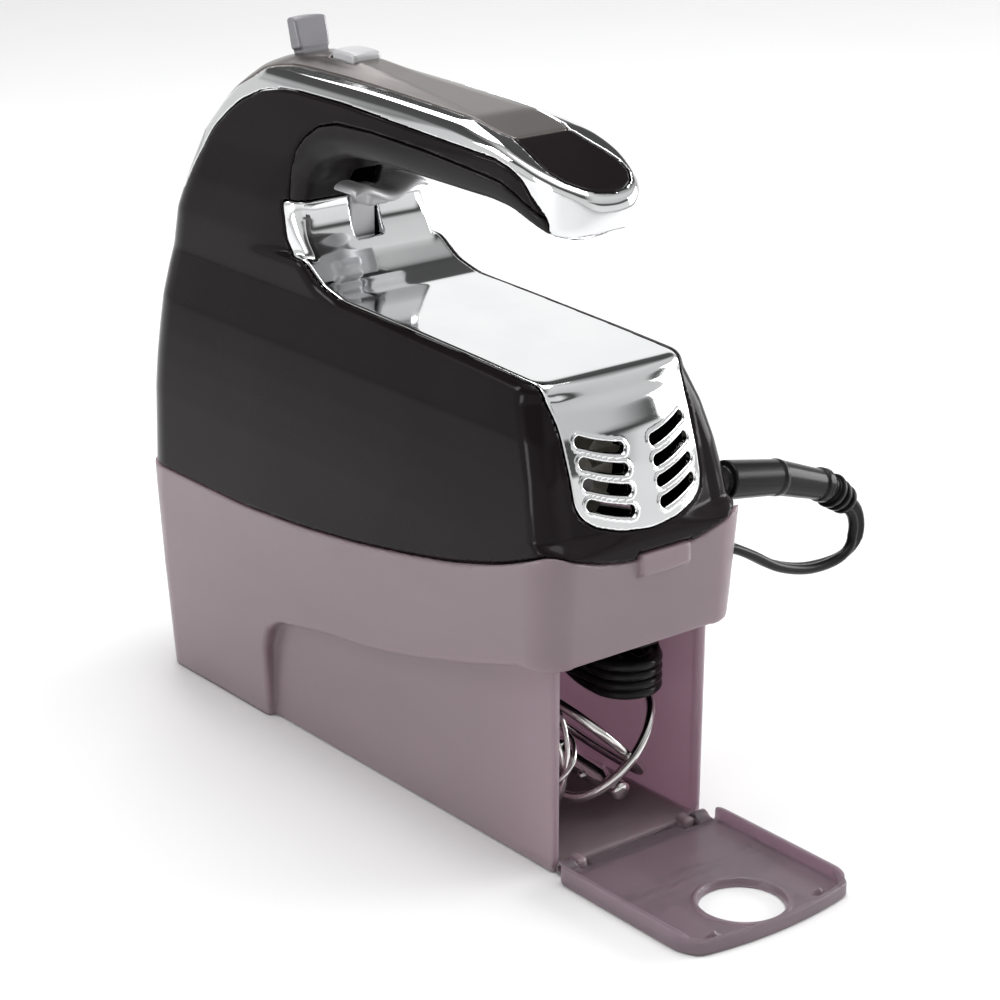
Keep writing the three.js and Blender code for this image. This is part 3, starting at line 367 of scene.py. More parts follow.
def profile(plane, points, soft=0.8, step=0.5):
    """An endless prism over a closed outline in the plane xy, xz or yz, with softened corners."""
    first, second = ["xyz".index(name) for name in plane]
    margin = 8.0
    low = [min(p[i] for p in points) - margin for i in range(2)]
    high = [max(p[i] for p in points) + margin for i in range(2)]
    axes = [np.arange(low[i], high[i] + step, step) for i in range(2)]
    table = polygon_distance(points, axes[0][:, None], axes[1][None, :])
    table = blurred(table, soft / step, (0, 1)) if soft else table

    def look_up(u, v):
        places, weights = [], []
        for i, values in enumerate((u, v)):
            spot = np.clip((values - low[i]) / step, 1, table.shape[i] - 2.001)
            base = np.floor(spot).astype(np.int64)
            places.append(base)
            weights.append(cubic(spot - base))
        value = slope_u = slope_v = 0
        for i in range(4):
            for j in range(4):
                part = table[places[0] + i - 1, places[1] + j - 1]
                value = value + weights[0][0][i] * weights[1][0][j] * part
                slope_u = slope_u + weights[0][1][i] * weights[1][0][j] * part
                slope_v = slope_v + weights[0][0][i] * weights[1][1][j] * part
        return value, slope_u / step, slope_v / step

    def grid(x, y, z):
        axis = (x, y, z)
        u, v = np.broadcast_arrays(axis[first], axis[second])
        return look_up(u, v)[0]

    def at(points):
        value, slope_u, slope_v = look_up(points[:, first], points[:, second])
        slope = np.zeros((len(points), 3))
        slope[:, first] = slope_u
        slope[:, second] = slope_v
        return value, slope

    return Field(grid, at)


def volume(values, low, cell):
    """A field stored on a grid."""
    low = np.array(low, float)

    def grid(x, y, z):
        made = values
        for axis, where in enumerate((x, y, z)):
            spot = np.clip((where.ravel() - low[axis]) / cell, 0, values.shape[axis] - 1.001)
            base = np.floor(spot).astype(np.int64)
            shape = [1, 1, 1]
            shape[axis] = -1
            share = (spot - base).reshape(shape).astype(values.dtype)
            made = np.take(made, base, axis) * (1 - share) + np.take(made, base + 1, axis) * share
        return made

    def at(points):
        spot = np.clip((points - low) / cell, 1, np.array(values.shape) - 2.001)
        base = np.floor(spot).astype(np.int64)
        parts = [cubic((spot - base)[:, i]) for i in range(3)]
        value = np.zeros(len(points))
        slope = np.zeros((len(points), 3))
        for i in range(4):
            for j in range(4):
                for k in range(4):
                    part = values[base[:, 0] + i - 1, base[:, 1] + j - 1, base[:, 2] + k - 1]
                    (wx, sx), (wy, sy), (wz, sz) = [(p[0][n], p[1][n]) for p, n in zip(parts, (i, j, k))]
                    value += wx * wy * wz * part
                    slope[:, 0] += sx * wy * wz * part
                    slope[:, 1] += wx * sy * wz * part
                    slope[:, 2] += wx * wy * sz * part
        return value, slope / cell

    return Field(grid, at)


CORNERS = [(i, j, k) for i in (0, 1) for j in (0, 1) for k in (0, 1)]
EDGES = [(a, b) for a in range(8) for b in range(a + 1, 8) if bin(a ^ b).count("1") == 1]


def net(field, low, high, cell):
    """Quads round the field's zero surface, with every corner drawn onto it."""
    axes = [np.arange(math.floor(a / cell) - 1, math.ceil(b / cell) + 2) * cell for a, b in zip(low, high)]
    x, y, z = axes[0][:, None, None], axes[1][None, :, None], axes[2][None, None, :]
    values = np.broadcast_to(field.grid(x, y, z), [len(a) for a in axes]).astype(np.float32)
    values[values == 0] = 1e-5
    filled = values < 0
    count = np.zeros([n - 1 for n in values.shape], np.int8)
    for i, j, k in CORNERS:
        count += filled[i:i + count.shape[0], j:j + count.shape[1], k:k + count.shape[2]]
    cells = np.argwhere((count > 0) & (count < 8))
    corner = np.stack([values[tuple((cells + c).T)] for c in CORNERS], axis=1)
    total = np.zeros((len(cells), 3))
    hits = np.zeros(len(cells))
    for a, b in EDGES:
        crossing = (corner[:, a] < 0) != (corner[:, b] < 0)
        share = np.where(crossing, corner[:, a] / np.where(crossing, corner[:, a] - corner[:, b], 1), 0)
        spot = np.array(CORNERS[a]) + share[:, None] * (np.array(CORNERS[b]) - np.array(CORNERS[a]))
        total += np.where(crossing[:, None], spot, 0)
        hits += crossing
    start = np.array([a[0] for a in axes])
    points = start + (cells + total / hits[:, None]) * cell
    number = np.full(count.shape, -1, np.int32)
    number[tuple(cells.T)] = np.arange(len(cells))
    quads = []
    for axis in range(3):
        ahead = [slice(None)] * 3
        behind = [slice(None)] * 3
        ahead[axis], behind[axis] = slice(1, None), slice(None, -1)
        change = filled[tuple(behind)] != filled[tuple(ahead)]
        at = np.argwhere(change)
        second, third = (axis + 1) % 3, (axis + 2) % 3
        keep = (at[:, second] > 0) & (at[:, third] > 0)
        keep &= (at[:, second] < count.shape[second]) & (at[:, third] < count.shape[third])
        at = at[keep]
        around = []
        for ds, dt in ((1, 1), (0, 1), (0, 0), (1, 0)):
            here = at.copy()
            here[:, second] -= ds
            here[:, third] -= dt
            around.append(number[tuple(here.T)])
        made = np.stack(around, axis=1)
        inward = ~filled[tuple(at.T)]
        made[inward] = made[inward][:, ::-1]
        quads.append(made)
    for _ in range(4):
        value, slope = field.at(points)
        size = np.maximum((slope ** 2).sum(1), 0.05)
        move = slope * (value / size)[:, None]
        length = np.linalg.norm(move, axis=1)
        points = points - move * np.minimum(1, 0.7 * cell / np.maximum(length, 1e-9))[:, None]
    slope = field.at(points)[1]
    normals = slope / np.maximum(np.linalg.norm(slope, axis=1), 1e-9)[:, None]
    return points, np.concatenate(quads), normals


def mesh_object(name, points, faces, normals=None):
    """A smooth-shaded mesh object from points in millimetres."""
    faces = np.asarray(faces, np.int32)
    mesh = bpy.data.meshes.new(name)
    mesh.vertices.add(len(points))
    mesh.vertices.foreach_set("co", (np.asarray(points) * MM).astype(np.float32).ravel())
    sides = faces.shape[1]
    mesh.loops.add(faces.size)
    mesh.loops.foreach_set("vertex_index", faces.ravel())
    mesh.polygons.add(len(faces))
    mesh.polygons.foreach_set("loop_start", np.arange(0, faces.size, sides, dtype=np.int32))
    mesh.polygons.foreach_set("loop_total", np.full(len(faces), sides, np.int32))
    mesh.polygons.foreach_set("use_smooth", np.ones(len(faces), bool))
    mesh.update(calc_edges=True)
    mesh.validate()
    if normals is not None:
        mesh.normals_split_custom_set_from_vertices(normals.astype(np.float32))
    made = bpy.data.objects.new(name, mesh)
    SCENE.collection.objects.link(made)
    return made


def finished(made, material, body, slot, *nodes):
    made.data.materials.clear()
    made.data.materials.append(material)
    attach(made, body)
    if nodes:
        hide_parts(*nodes)
    return made


def skin(name, field, node, cell, material, body, slot, spare=1.0):
    """The piece that stands for one CAD node, meshed over that node's own box."""
    low, high = [[v / MM for v in corner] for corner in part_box(node)]
    inside = box([v - spare / 2 for v in low], [v + spare / 2 for v in high], 0.1)
    points, quads, normals = net(
        both(field, inside, 0.05), [v - spare for v in low], [v + spare for v in high], cell,
    )
    return finished(mesh_object(name, points, quads, normals), material, body, slot, node)


# ------------------------------------------------------------------ swept wires and cords
def smooth_path(points, spacing):
    """Points along a smooth open curve through the given ones, evenly spaced."""
    p = np.array(points, float)
    p = np.vstack([2 * p[0] - p[1], p, 2 * p[-1] - p[-2]])
    fine = []
    for i in range(1, len(p) - 2):
        for t in np.linspace(0, 1, 24, endpoint=False):
            weights = cubic(t)[0]
            fine.append(sum(w * q for w, q in zip(weights, p[i - 1:i + 3])))
    fine = np.array(fine + [p[-2]])
    run = np.concatenate([[0], np.cumsum(np.linalg.norm(np.diff(fine, axis=0), axis=1))])
    places = np.linspace(0, run[-1], max(4, int(round(run[-1] / spacing)) + 1))
    return np.stack([np.interp(places, run, fine[:, i]) for i in range(3)], axis=1), run[-1]


def sweep(name, path, section, first_side=(1, 0, 0), level=0.0, level_under=1e9):
    """A section of (across, up) pairs carried along a path, closed with rounded ends.

    Below level_under the section turns towards lying flat, by the share level at each step.
    """
    path = np.asarray(path)
    tangent = np.gradient(path, axis=0)
    tangent /= np.linalg.norm(tangent, axis=1)[:, None]
    side = np.array(first_side, float)
    sides = []
    for t, height in zip(tangent, path[:, 2]):
        side = side - t * side.dot(t)
        side /= np.linalg.norm(side)
        flat = np.cross(t, (0, 0, 1))
        if level and height < level_under and np.linalg.norm(flat) > 0.5:
            flat /= np.linalg.norm(flat)
            side = side + level * (flat * np.sign(flat.dot(side)) - side)
            side -= t * side.dot(t)
            side /= np.linalg.norm(side)
        sides.append(side)
    sides = np.array(sides)
    up = np.cross(tangent, sides)
    section = np.array(section, float)
    rings = [
        spot + section[:, :1] * across + section[:, 1:] * over for spot, across, over in zip(path, sides, up)
    ]
    reach = np.abs(section).max() * 0.45
    first = path[0] - tangent[0] * reach + (rings[0] - path[0]) * 0.55
    last = path[-1] + tangent[-1] * reach + (rings[-1] - path[-1]) * 0.55
    return tube(name, [first, *rings, last], [first.mean(0), last.mean(0)])


def tube(name, rings, ends):
    """Rings of points joined into a tube, closed by a fan from a point at each end."""
    count = len(rings[0])
    index = np.arange(count)
    nearby = (index + 1) % count
    strip = np.stack([index, nearby, count + nearby, count + index], axis=1)
    faces = np.concatenate([i * count + strip for i in range(len(rings) - 1)])
    made = mesh_object(name, np.concatenate([*rings, ends]), faces)
    head = len(rings) * count
    last = head - count
    caps = [(head, int(b), int(a)) for a, b in zip(index, nearby)]
    caps += [(head + 1, int(last + a), int(last + b)) for a, b in zip(index, nearby)]
    close(made, caps)
    return made


def close(made, triangles):
    """Adds faces to a mesh by vertex number."""
    work = bmesh.new()
    work.from_mesh(made.data)
    work.verts.ensure_lookup_table()
    for corners in triangles:
        face = work.faces.new([work.verts[i] for i in corners])
        face.smooth = True
    bmesh.ops.recalc_face_normals(work, faces=work.faces)
    work.to_mesh(made.data)
    work.free()


def ring(radius, count=16):
    angles = np.linspace(0, 2 * math.pi, count, endpoint=False)
    return np.stack([np.cos(angles), np.sin(angles)], axis=1) * radius


def joined(name, parts):
    """Several mesh objects as one."""
    work = bmesh.new()
    for part in parts:
        work.from_mesh(part.data)
    mesh = bpy.data.meshes.new(name)
    work.to_mesh(mesh)
    work.free()
    for part in parts:
        bpy.data.objects.remove(part)
    made = bpy.data.objects.new(name, mesh)
    SCENE.collection.objects.link(made)
    return made


# ------------------------------------------------------------------ cord
CORD_WIDTH = 5.4
CORD_THICK = 3.0
FREE_RUN = [
    (92, 84.8, 81.4), (92, 88.2, 77.4), (92, 89.2, 72), (92, 87, 67.2), (92, 80.5, 64.6),
    (92, 69, 64.9), (92, 57, 68.6), (92, 46, 75), (92, 37.5, 79), (91.6, 30.6, 78.8),
    (90.8, 25.2, 75.4), (90, 22.2, 70.6), (89.2, 19.4, 65.6), (88.2, 16, 62.6),
]
HANK = {"x0": 8.7, "x1": 79.3, "y": 12.0, "half": 8.1}
HANK_LAYERS = [61.8, 58.95, 56.1, 49.2, 46.35, 43.5, 41.0]


def hank_route():
    """Flat turns round the hank from the top down, then up its middle to the plug."""
    x0, x1, y, half = (HANK[key] for key in ("x0", "x1", "y", "half"))
    turn = []
    for i in range(1, 6):
        angle = -math.pi / 2 * i / 5
        turn.append((x1 + half * math.cos(angle), y + half * math.sin(angle)))
    turn += [(x1 + (x0 - x1) * s, y - half) for s in (0.25, 0.5, 0.75, 1.0)]
    for i in range(1, 9):
        angle = -math.pi / 2 - math.pi * i / 8
        turn.append((x0 + half * math.cos(angle), y + half * math.sin(angle)))
    turn += [(x0 + (x1 - x0) * s, y + half) for s in (0.25, 0.5, 0.75, 1.0)]
    for i in range(1, 6):
        angle = math.pi / 2 - math.pi / 2 * i / 5
        turn.append((x1 + half * math.cos(angle), y + half * math.sin(angle)))
    route = [(x1 + half, y, HANK_LAYERS[0])]
    for n, height in enumerate(HANK_LAYERS):
        after = HANK_LAYERS[n + 1] if n + 1 < len(HANK_LAYERS) else height
        for i, (px, py) in enumerate(turn):
            drop = min(1.0, max(0.0, (i - 16.5) / 5.0))
            route.append((px, py, height + (after - height) * drop))
    route = route[:5 - len(turn)]
    route += [
        (70, y - 7.4, 41.2), (60, y - 5.4, 42.8), (50, y - 3, 45.8), (40, y - 1.2, 48.8),
        (30, y - 0.3, 50.9),
        (20, y, 52), (10, y, 52), (2, y, 52), (-2.4, y, 52),
    ]
    return route


def flat_section():
    """Two round conductors side by side with a groove between them."""
    half, radius = CORD_WIDTH / 2, CORD_THICK / 2
    across = half * np.cos(np.linspace(0, math.pi, 11))
    thick = np.sqrt(np.maximum(radius ** 2 - (np.abs(across) - (half - radius)) ** 2, 0.02))
    upper = np.stack([across, thick], axis=1)
    lower = np.stack([across[::-1][1:-1], -thick[::-1][1:-1]], axis=1)
    return np.concatenate([upper, lower])


cord_path, cord_length = smooth_path(FREE_RUN + hank_route(), 1.6)
cord = sweep("mains_cord", cord_path, flat_section(), (0, 1, 1), level=0.2, level_under=72)
finished(cord, VINYL, "mixer", "cord_rubber", "power_cord", "cord_hank")

PLUG = {"x0": -26.0, "x1": -2.6, "y": 12.0, "z": 52.0}


def plug_field():
    y, z = PLUG["y"], PLUG["z"]
    back = PLUG["x1"] - 8.4
    grip = box((PLUG["x0"], y - 8.5, z - 6), (back, y + 8.5, z + 6), 2.4)
    waist = formula(lambda px, py, pz: 3.2 - np.hypot(px - back + 7, (np.abs(py - y) - 11.2)) + 0 * pz)
    body = both(grip, waist, 0.8)
    tail = rod((back - 1, y, z), (PLUG["x1"] - 0.2, y, z), 4.3, 3.3)
    rings = formula(lambda px, py, pz: 0.55 - np.abs(((px + 0.4) % 2.4) - 1.2) + 0 * (py + pz))
    core = rod((back - 1, y, z), (PLUG["x1"] - 0.2, y, z), 3.5, 2.7)
    return either(either(body, both(tail, outside(rings), 0.3), 0.8), core, 0.3)


plug = skin("mains_plug", plug_field(), "plug", 0.45, VINYL, "mixer", "cord_rubber")


def boot_field():
    sleeve = either(
        rod((92, 35.9, 99), (92, 56, 95.4), 5.6, 5.1),
        rod((92, 55.4, 95.6), (92, 74.6, 88.9), 5.15, 4.35),
        1.2,
    )
    end_bead = rod((92, 72.6, 89.6), (92, 75.4, 88.6), 5.0)
    neck = either(rod((92, 29.2, 99), (92, 37.5, 98.9), 3.9), rod((92, 27.6, 99), (92, 29.4, 99), 4.7), 0.3)
    return either(either(sleeve, end_bead, 0.5), neck, 0.6)


def neck_field():
    a, b = np.array((92, 75, 88.8)), np.array((92, 84.6, 81.6))

    def spot(share):
        return tuple(a + (b - a) * share)

    field = rod(spot(0.12), spot(1.0), 3.9, 3.2)
    for share, radius in ((0.36, 5.3), (0.62, 4.9), (0.88, 4.5)):
        field = either(field, rod(spot(share - 0.07), spot(share + 0.07), radius, radius - 0.3), 0.5)
    return field


skin("cord_strain_relief", boot_field(), "cord_boot", 0.6, VINYL, "mixer", "cord_rubber")
neck = skin("cord_ribbed_neck", neck_field(), "cord_neck", 0.45, VINYL, "mixer", "cord_rubber")

# ------------------------------------------------------------------ storage case and door
GAP = 0.3
FAR = 118.0
RIM_LINE = [
    (-FAR, 69.5), (-40, 69.5), (-10, 71.6), (16, 74.6), (40, 78.4), (62, 82.6), (82, 88), (95, 93),
    (104, 97), (FAR, 97),
]
COLLAR_LINE = [
    (-37, 24), (-34, 31), (-28, 35), (-5, 39.5), (18, 42.5), (42, 47.5), (66, 54), (90, 61.5), (FAR, 62),
]
# Plan outlines at rising heights: z, front x, rear x, half width, front and rear corner radius.
CASE_LEVELS = [
    (0, -96, 100.5, 29.8, 8, 6), (35, -98.4, 101, 32.4, 11, 8), (62, -100.3, 101.5, 34.6, 15, 9),
    (70, -101, 102.3, 35.4, 17, 10), (98, -102, 104.6, 36.6, 17, 11),
]
LEG_LEVELS = [(0, -94, 96, 27.2, 8, 1), (66, -96, 96, 27.7, 8, 1), (75, -96.3, 96, 27.8, 8, 1)]
CASE_WALL = 2.2
CASE_FOOT = 0.25
FLOOR = 2.5


def tower(levels, inset=0.0, smooth=0.0, bottom=-50.0, top=300.0):
    """A body given by plan outlines at rising heights, shrunk by an inset all round."""
    heights = np.arange(levels[0][0] - 60, levels[-1][0] + 60, 0.25)
    columns = np.array(levels, float)
    curves = []
    for i in range(1, 6):
        curve = np.interp(heights, columns[:, 0], columns[:, i])
        curves.append(blurred(curve, smooth / 0.25, (0,)) if smooth else curve)

    def f(x, y, z):
        flat = np.asarray(z)
        front, rear, half, r_front, r_rear = [np.interp(flat, heights, c) for c in curves]
        front, rear, half = front + inset, rear - inset, half - inset
        middle = (front + rear) / 2
        radius = np.where(x < middle, np.maximum(r_front - inset, 1), np.maximum(r_rear - inset, 1))
        qx = np.abs(x - middle) - (rear - front) / 2 + radius
        qy = np.abs(y) - half + radius
        side = np.hypot(np.maximum(qx, 0), np.maximum(qy, 0)) + np.minimum(np.maximum(qx, qy), 0) - radius
        return np.maximum(side, np.maximum(bottom - z, z - top))

    return formula(f)


RIM_END = {"top": 97, "dip": 8.5, "half": 36}


def rim_field(raise_by):
    """Everything below the case's rim, which dips along its rear end."""
    xs = np.arange(-FAR, FAR + 1, 0.5)
    line = np.interp(xs, [p[0] for p in RIM_LINE], [p[1] for p in RIM_LINE])
    line = blurred(line, 8, (0,))

    def f(x, y, z):
        along = np.interp(x, xs, line)
        across = RIM_END["top"] - RIM_END["dip"] * (1 - np.clip(y / RIM_END["half"], -1, 1) ** 2)
        return (z - raise_by + _soft(-along, -across, 1.5)[0]) * 0.95

    return formula(f)


def inset_field(shrink):
    line = [(x + (shrink if z < 34 else 0), z - shrink) for x, z in COLLAR_LINE]
    outline = [(-38 + shrink, -12), (FAR, -12), *reversed(line)]
    return profile("xz", outline, 1.3)


def case_field():
    rim = rim_field(0)
    collar = minus(both(tower(CASE_LEVELS, bottom=CASE_FOOT), rim, 0.7), inset_field(0), k=1.6)
    leg = both(tower(LEG_LEVELS, bottom=CASE_FOOT), rim, 0.5)
    outer = either(collar, leg, 1.0)
    leg_hollow = tower(LEG_LEVELS, CASE_WALL, bottom=FLOOR)
    doorway = box((70, -25, FLOOR), (130, 25, 62), 1.2)
    collar_hollow = minus(tower(CASE_LEVELS, CASE_WALL, bottom=FLOOR), inset_field(-CASE_WALL), k=1.0)
    hollow = either(either(leg_hollow, doorway, 0.4), collar_hollow, 0.6)
    slot = either(
        box((84, 20, 74.5), (99.5, 45, 120), 1.4), box((83.9, 32, 92.5), (100.1, 45, 120), 0.8), 0.6,
    )
    body = minus(outer, hollow, slot, k=0.6)
    for side in (-1, 1):
        body = minus(body, rod((98.4, side * 21.8, 2.2), (98.4, side * 33, 2.2), 3.1), k=0.4)
        near, far = sorted((side * 18.2, side * 21.4))
        lug = box((95, near, 0.3), (99.8, far, 3.8), 0.5)
        pin = rod((98.4, side * 20, 2.2), (98.4, side * 25.8, 2.2), 0.9)
        body = either(body, either(lug, pin, 0.2), 0.4)
    tab = minus(box((102.2, -5, 84), (104.9, 13, 90.2), 0.6), collar_hollow, k=0.3)
    return either(body, tab, 0.5)


skin("case_shell", case_field(), "storage_case", 1.0, SMOKY, "case", "smoky_plastic")

DOOR = {"start": 100.8, "corner": 154.2, "half": 29.6, "bulge": 3.6, "skin": 2.0, "rim": 5.6, "lip": 4.2}


def door_outline(inset):
    half = DOOR["half"] - inset
    corner = 5.0
    start = DOOR["start"] - (1 if inset else 0)
    points = [(start, half), (start, -half), (DOOR["corner"] - corner - inset, -half)]
    for i in range(-10, 11):
        y = i / 10 * (half - corner * 0.55)
        points.append((DOOR["corner"] - inset + DOOR["bulge"] * (1 - (y / half) ** 2), y))
    points.append((DOOR["corner"] - corner - inset, half))
    return profile("xy", points, 1.2)


def door_field():
    low = formula(lambda x, y, z: 0 * (x + y) - z)
    high = formula(lambda x, y, z: 0 * (x + y) + z - DOOR["rim"])
    tray = both(both(door_outline(0), low, 1.0), high, 0.8)
    floor = formula(lambda x, y, z: 0 * (x + y) + DOOR["skin"] - z)
    hollow = both(door_outline(1.6), floor, 0.6)
    hole = formula(lambda x, y, z: np.hypot(x - 142, y) - 11.6 - 0.5 * np.clip(z - 1.2, 0, 1) + 0 * z)
    low_lip = box((148, -27.8, DOOR["lip"]), (200, 27.8, 20), 0.5)
    door = minus(tray, hollow, k=0.5)
    door = minus(door, low_lip, k=0.5)
    bead = both(
        formula(lambda x, y, z: np.abs(np.hypot(x - 142, y) - 12.4) - 0.9 + 0 * z),
        formula(lambda x, y, z: np.abs(z - 1.4) - 1.2 + 0 * (x + y)),
        0.4,
    )
    door = minus(either(door, bead, 0.5), hole, k=0.4)
    for y in (-19, 19):
        bump = formula(
            lambda x, py, z, y=y: 0.8 * (np.abs(x - 151.6) + 0.7 * np.abs(py - y) + 0.75 * (z - 4.4))
        )
        door = either(door, both(bump, box((147, y - 4, 1), (155, y + 4, 5.0), 0.5), 0.4), 0.3)
    door = either(door, box((97.5, -17, 0.2), (101.4, 17, 1.8), 0.4), 0.4)
    for side in (-1, 1):
        near, far = sorted((side * 22, side * 26.6))
        knuckle = rod((98.4, near, 2.2), (98.4, far, 2.2), 2.1)
        arm = box((98.4, near, 0.2), (102, far, 2.9), 0.4)
        bore = rod((98.4, near - 1, 2.2), (98.4, far + 1, 2.2), 1.25)
        door = either(door, minus(either(knuckle, arm, 0.5), bore, k=0.2), 0.5)
    return door


skin("case_door_panel", door_field(), "case_door", 0.6, SMOKY_DOOR, "door", "smoky_plastic")

# ------------------------------------------------------------------ mixer shell
# Upward from the deck the levels describe the forehead; the handle behind it is narrower and
# follows the plan of the grip.
BODY_LEVELS = [
    (60, -100.4, 104.4, 35.3, 17, 10), (94, -100, 104.2, 34.5, 17, 8), (99, -99.9, 102.8, 34.1, 17, 7),
    (105, -99.8, 100.9, 33.5, 17, 6.5), (113, -99.6, 98.8, 32.4, 17, 6.5), (123, -99.4, 95.2, 30.8, 17, 7),
    (132, -98.8, 91, 28.6, 17, 8), (138, -98.2, 91, 27, 17, 8), (150, -96, 93, 26, 16, 15),
    (162, -91, 93, 24.6, 16, 15), (175, -84, 93, 22.6, 15, 15), (185, -75, 93, 20.6, 14, 15),
    (190, -69, 93, 19.4, 13, 15), (193.4, -64.5, 93, 17.6, 12, 14), (197, -59.5, 93, 15.2, 11, 13),
    (198.6, -56, 93, 11.6, 9, 9), (200.4, -51, 93, 7.6, 6, 6), (203.4, -34, 93, 4, 3, 3),
]
SIDE_OUTLINE = [
    (-116, 44), (116, 44), (116, 132), (90.6, 132), (87.5, 136.5), (60, 137.9), (20, 139.4), (-2, 140),
    (-12, 142.4), (-19, 147), (-23.5, 153.5), (-25.5, 161), (-24, 168.5), (-18, 175), (-8, 178.6),
    (5, 179.6), (56, 178.9), (64, 178), (71, 175.2), (77, 172.4), (83, 172), (87.5, 174), (89.8, 178),
    (88.8, 182.4), (84, 185.6), (77, 188), (68, 191), (57, 194.4), (40, 197.6), (15, 199.4),
    (-5, 200.9), (-20, 202.6), (-30, 203.4), (-116, 203.4),
]
GRIP_HALF = [
    (-118, 44), (-42, 27), (-22, 22.5), (0, 20.6), (25, 19.2), (50, 18.2), (64, 17.4), (72, 16.2),
    (79, 13.8), (85, 10), (88.6, 5.4),
]
GRIP_END = 89.8
WALL = 2.2
REAR_BULGE = 0.0058  # how far the rear panel stands out in its middle, per square millimetre of y


def mirrored(sides, end):
    """A plan outline from the half widths along one side and the x of its rear end."""
    return [(x, -half) for x, half in sides] + [(end, 0)] + [(x, half) for x, half in reversed(sides)]


def body_volume():
    """The mixer's outer form, kept on a grid so that every shell piece shares one surface."""
    cell = 1.0
    low, high = (-110, -46, 40), (114, 46, 210)
    axes = [np.arange(a, b + cell, cell) for a, b in zip(low, high)]
    x, y, z = axes[0][:, None, None], axes[1][None, :, None], axes[2][None, None, :]
    reach = np.minimum(np.abs(y), 24) * np.clip((x - 40) / 30, 0, 1) * np.clip((z - 93) / 5, 0, 1)
    plan = tower(BODY_LEVELS, smooth=0.5, bottom=-99, top=203.4).grid(x + REAR_BULGE * reach ** 2, y, z)
    plan = plan.astype(np.float32)
    slopes = np.gradient(plan, cell)
    plan = plan / np.clip(np.sqrt(sum(s * s for s in slopes)), 1, 12)
    side = profile("xz", SIDE_OUTLINE, 1.6).grid(x, y, z).astype(np.float32)
    rounding = 3.2 + 4.5 * np.clip((z - 150) / 8, 0, 1) * np.clip((190 - z) / 8, 0, 1)
    shape = _soft(plan, np.broadcast_to(side, plan.shape), rounding)[0]
    grip = profile("xy", mirrored(GRIP_HALF, GRIP_END), 1.6).grid(x, y, z).astype(np.float32)
    grip = -_soft(-np.broadcast_to(grip, plan.shape), -np.broadcast_to(z - 148.0, plan.shape), 1.0)[0]
    shape = _soft(shape, grip, 2.4)[0]
    return volume(blurred(shape, 0.55, (0, 1, 2)), low, cell)


BODY = body_volume()
SHELL = both(BODY, outside(grown(BODY, -WALL)), 0.3)

DECK_BAND = [
    (-32, 163), (-30, 152), (-23, 142), (-12, 136.5), (60, 132), (83, 131), (88, 115), (93, 100), (93, 90),
    (FAR, 90), (FAR, 150), (0, 150), (-20, 163),
]
PANEL_HALF = [(10, 97.8), (17, 99.8), (20.6, 102.4), (22, 106), (22.2, 126), (24, 137), (24, 170)]
PANEL_FRONT = [(0, 96.8), *PANEL_HALF, *[(-y, z) for y, z in reversed(PANEL_HALF)]]
INNER_BAND = [
    (-29.5, 163.3), (-15, 163.3), (-15, 150), (76.4, 150), (76.4, 176.4), (74, 178), (70, 180), (66, 182.2),
    (61, 184.5), (49, 185.9), (28, 187.5), (6, 188.4), (-10, 188), (-18, 186.1), (-24, 182), (-27, 178.2),
    (-28.6, 172.2),
]
TRIM_BAND = [
    (-FAR, 153), (-95, 153), (-84, 158), (-77, 167.5), (-73, 172.9), (-70, 177.4), (-64, 182.7),
    (-58, 187.2), (-49, 191.4), (-40, 193.2), (-30, 193.8), (-11, 193.8), (9, 193), (27, 192.2),
    (49, 191.2), (58, 190.6), (64, 189.2), (68.7, 186.7), (72, 182.6), (75, 179.2), (76.9, 176.8),
    (76.9, 160), (FAR, 160), (FAR, 215), (-FAR, 215),
]
COVER_HALF = [
    (-79, 12), (-76, 15.6), (-70, 17), (-57, 16.4), (-50, 13.6), (-43, 11.2), (-36, 10.6), (52, 10.4),
    (56.2, 9.2),
]
INLAY_HALF = [(56.5, 9.4), (63, 10.2), (69, 11.3), (74, 11.8), (79, 10.8), (83, 8), (85, 4.4)]


deck_region = both(profile("xz", DECK_BAND, 0.8), profile("yz", PANEL_FRONT, 1.0), 1.0)
inner_region = profile("xz", INNER_BAND, 0.7)
trim_region = profile("xz", TRIM_BAND, 0.7)
cover_region = both(
    profile("xy", mirrored(COVER_HALF, 56.21), 0.5),
    formula(lambda x, y, z: 165 - z + 0 * (x + y)),
    0.3,
)
inlay_region = both(
    profile("xy", mirrored(INLAY_HALF, 85.6), 0.6),
    formula(lambda x, y, z: 178 - z + 0 * (x + y)),
    0.3,
)


def housing_field():
    body = minus(
        SHELL, rim_field(0.4),
        *[grown(region, GAP) for region in (deck_region, inner_region, trim_region)],
        k=0.7,
    )
    notch = box((100, -5.5, 70), (130, 13.5, 91), 0.6)
    return minus(body, notch, rod((92, 20, 99), (92, 50, 99), 4.3), k=0.4)


skin("housing_shell", housing_field(), "main_housing", 0.9, GLOSS_BLACK, "mixer", "gloss_black")

VENT = {"near": 4.4, "far": 18.8, "rise": 4.3, "low": 101.8, "pitch": 5.4, "rows": 4, "half": 1.5}


def vent_distance(x, y, z):
    """Distance to the nearest grille slot, measured in the plane across the mixer."""
    ay = np.abs(y)
    best = None
    run = VENT["far"] - VENT["near"] - 2 * VENT["half"]
    for row in range(VENT["rows"]):
        base = VENT["low"] + row * VENT["pitch"]
        share = np.clip((ay - VENT["near"] - VENT["half"]) / run, 0, 1)
        height = base + VENT["rise"] * (0.12 + 0.76 * share + 0.9 * share * (share - 1) * 0.35)
        gap = np.hypot(ay - (VENT["near"] + VENT["half"] + share * run), z - height) - VENT["half"]
        best = gap if best is None else np.minimum(best, gap)
    return best + 0 * x


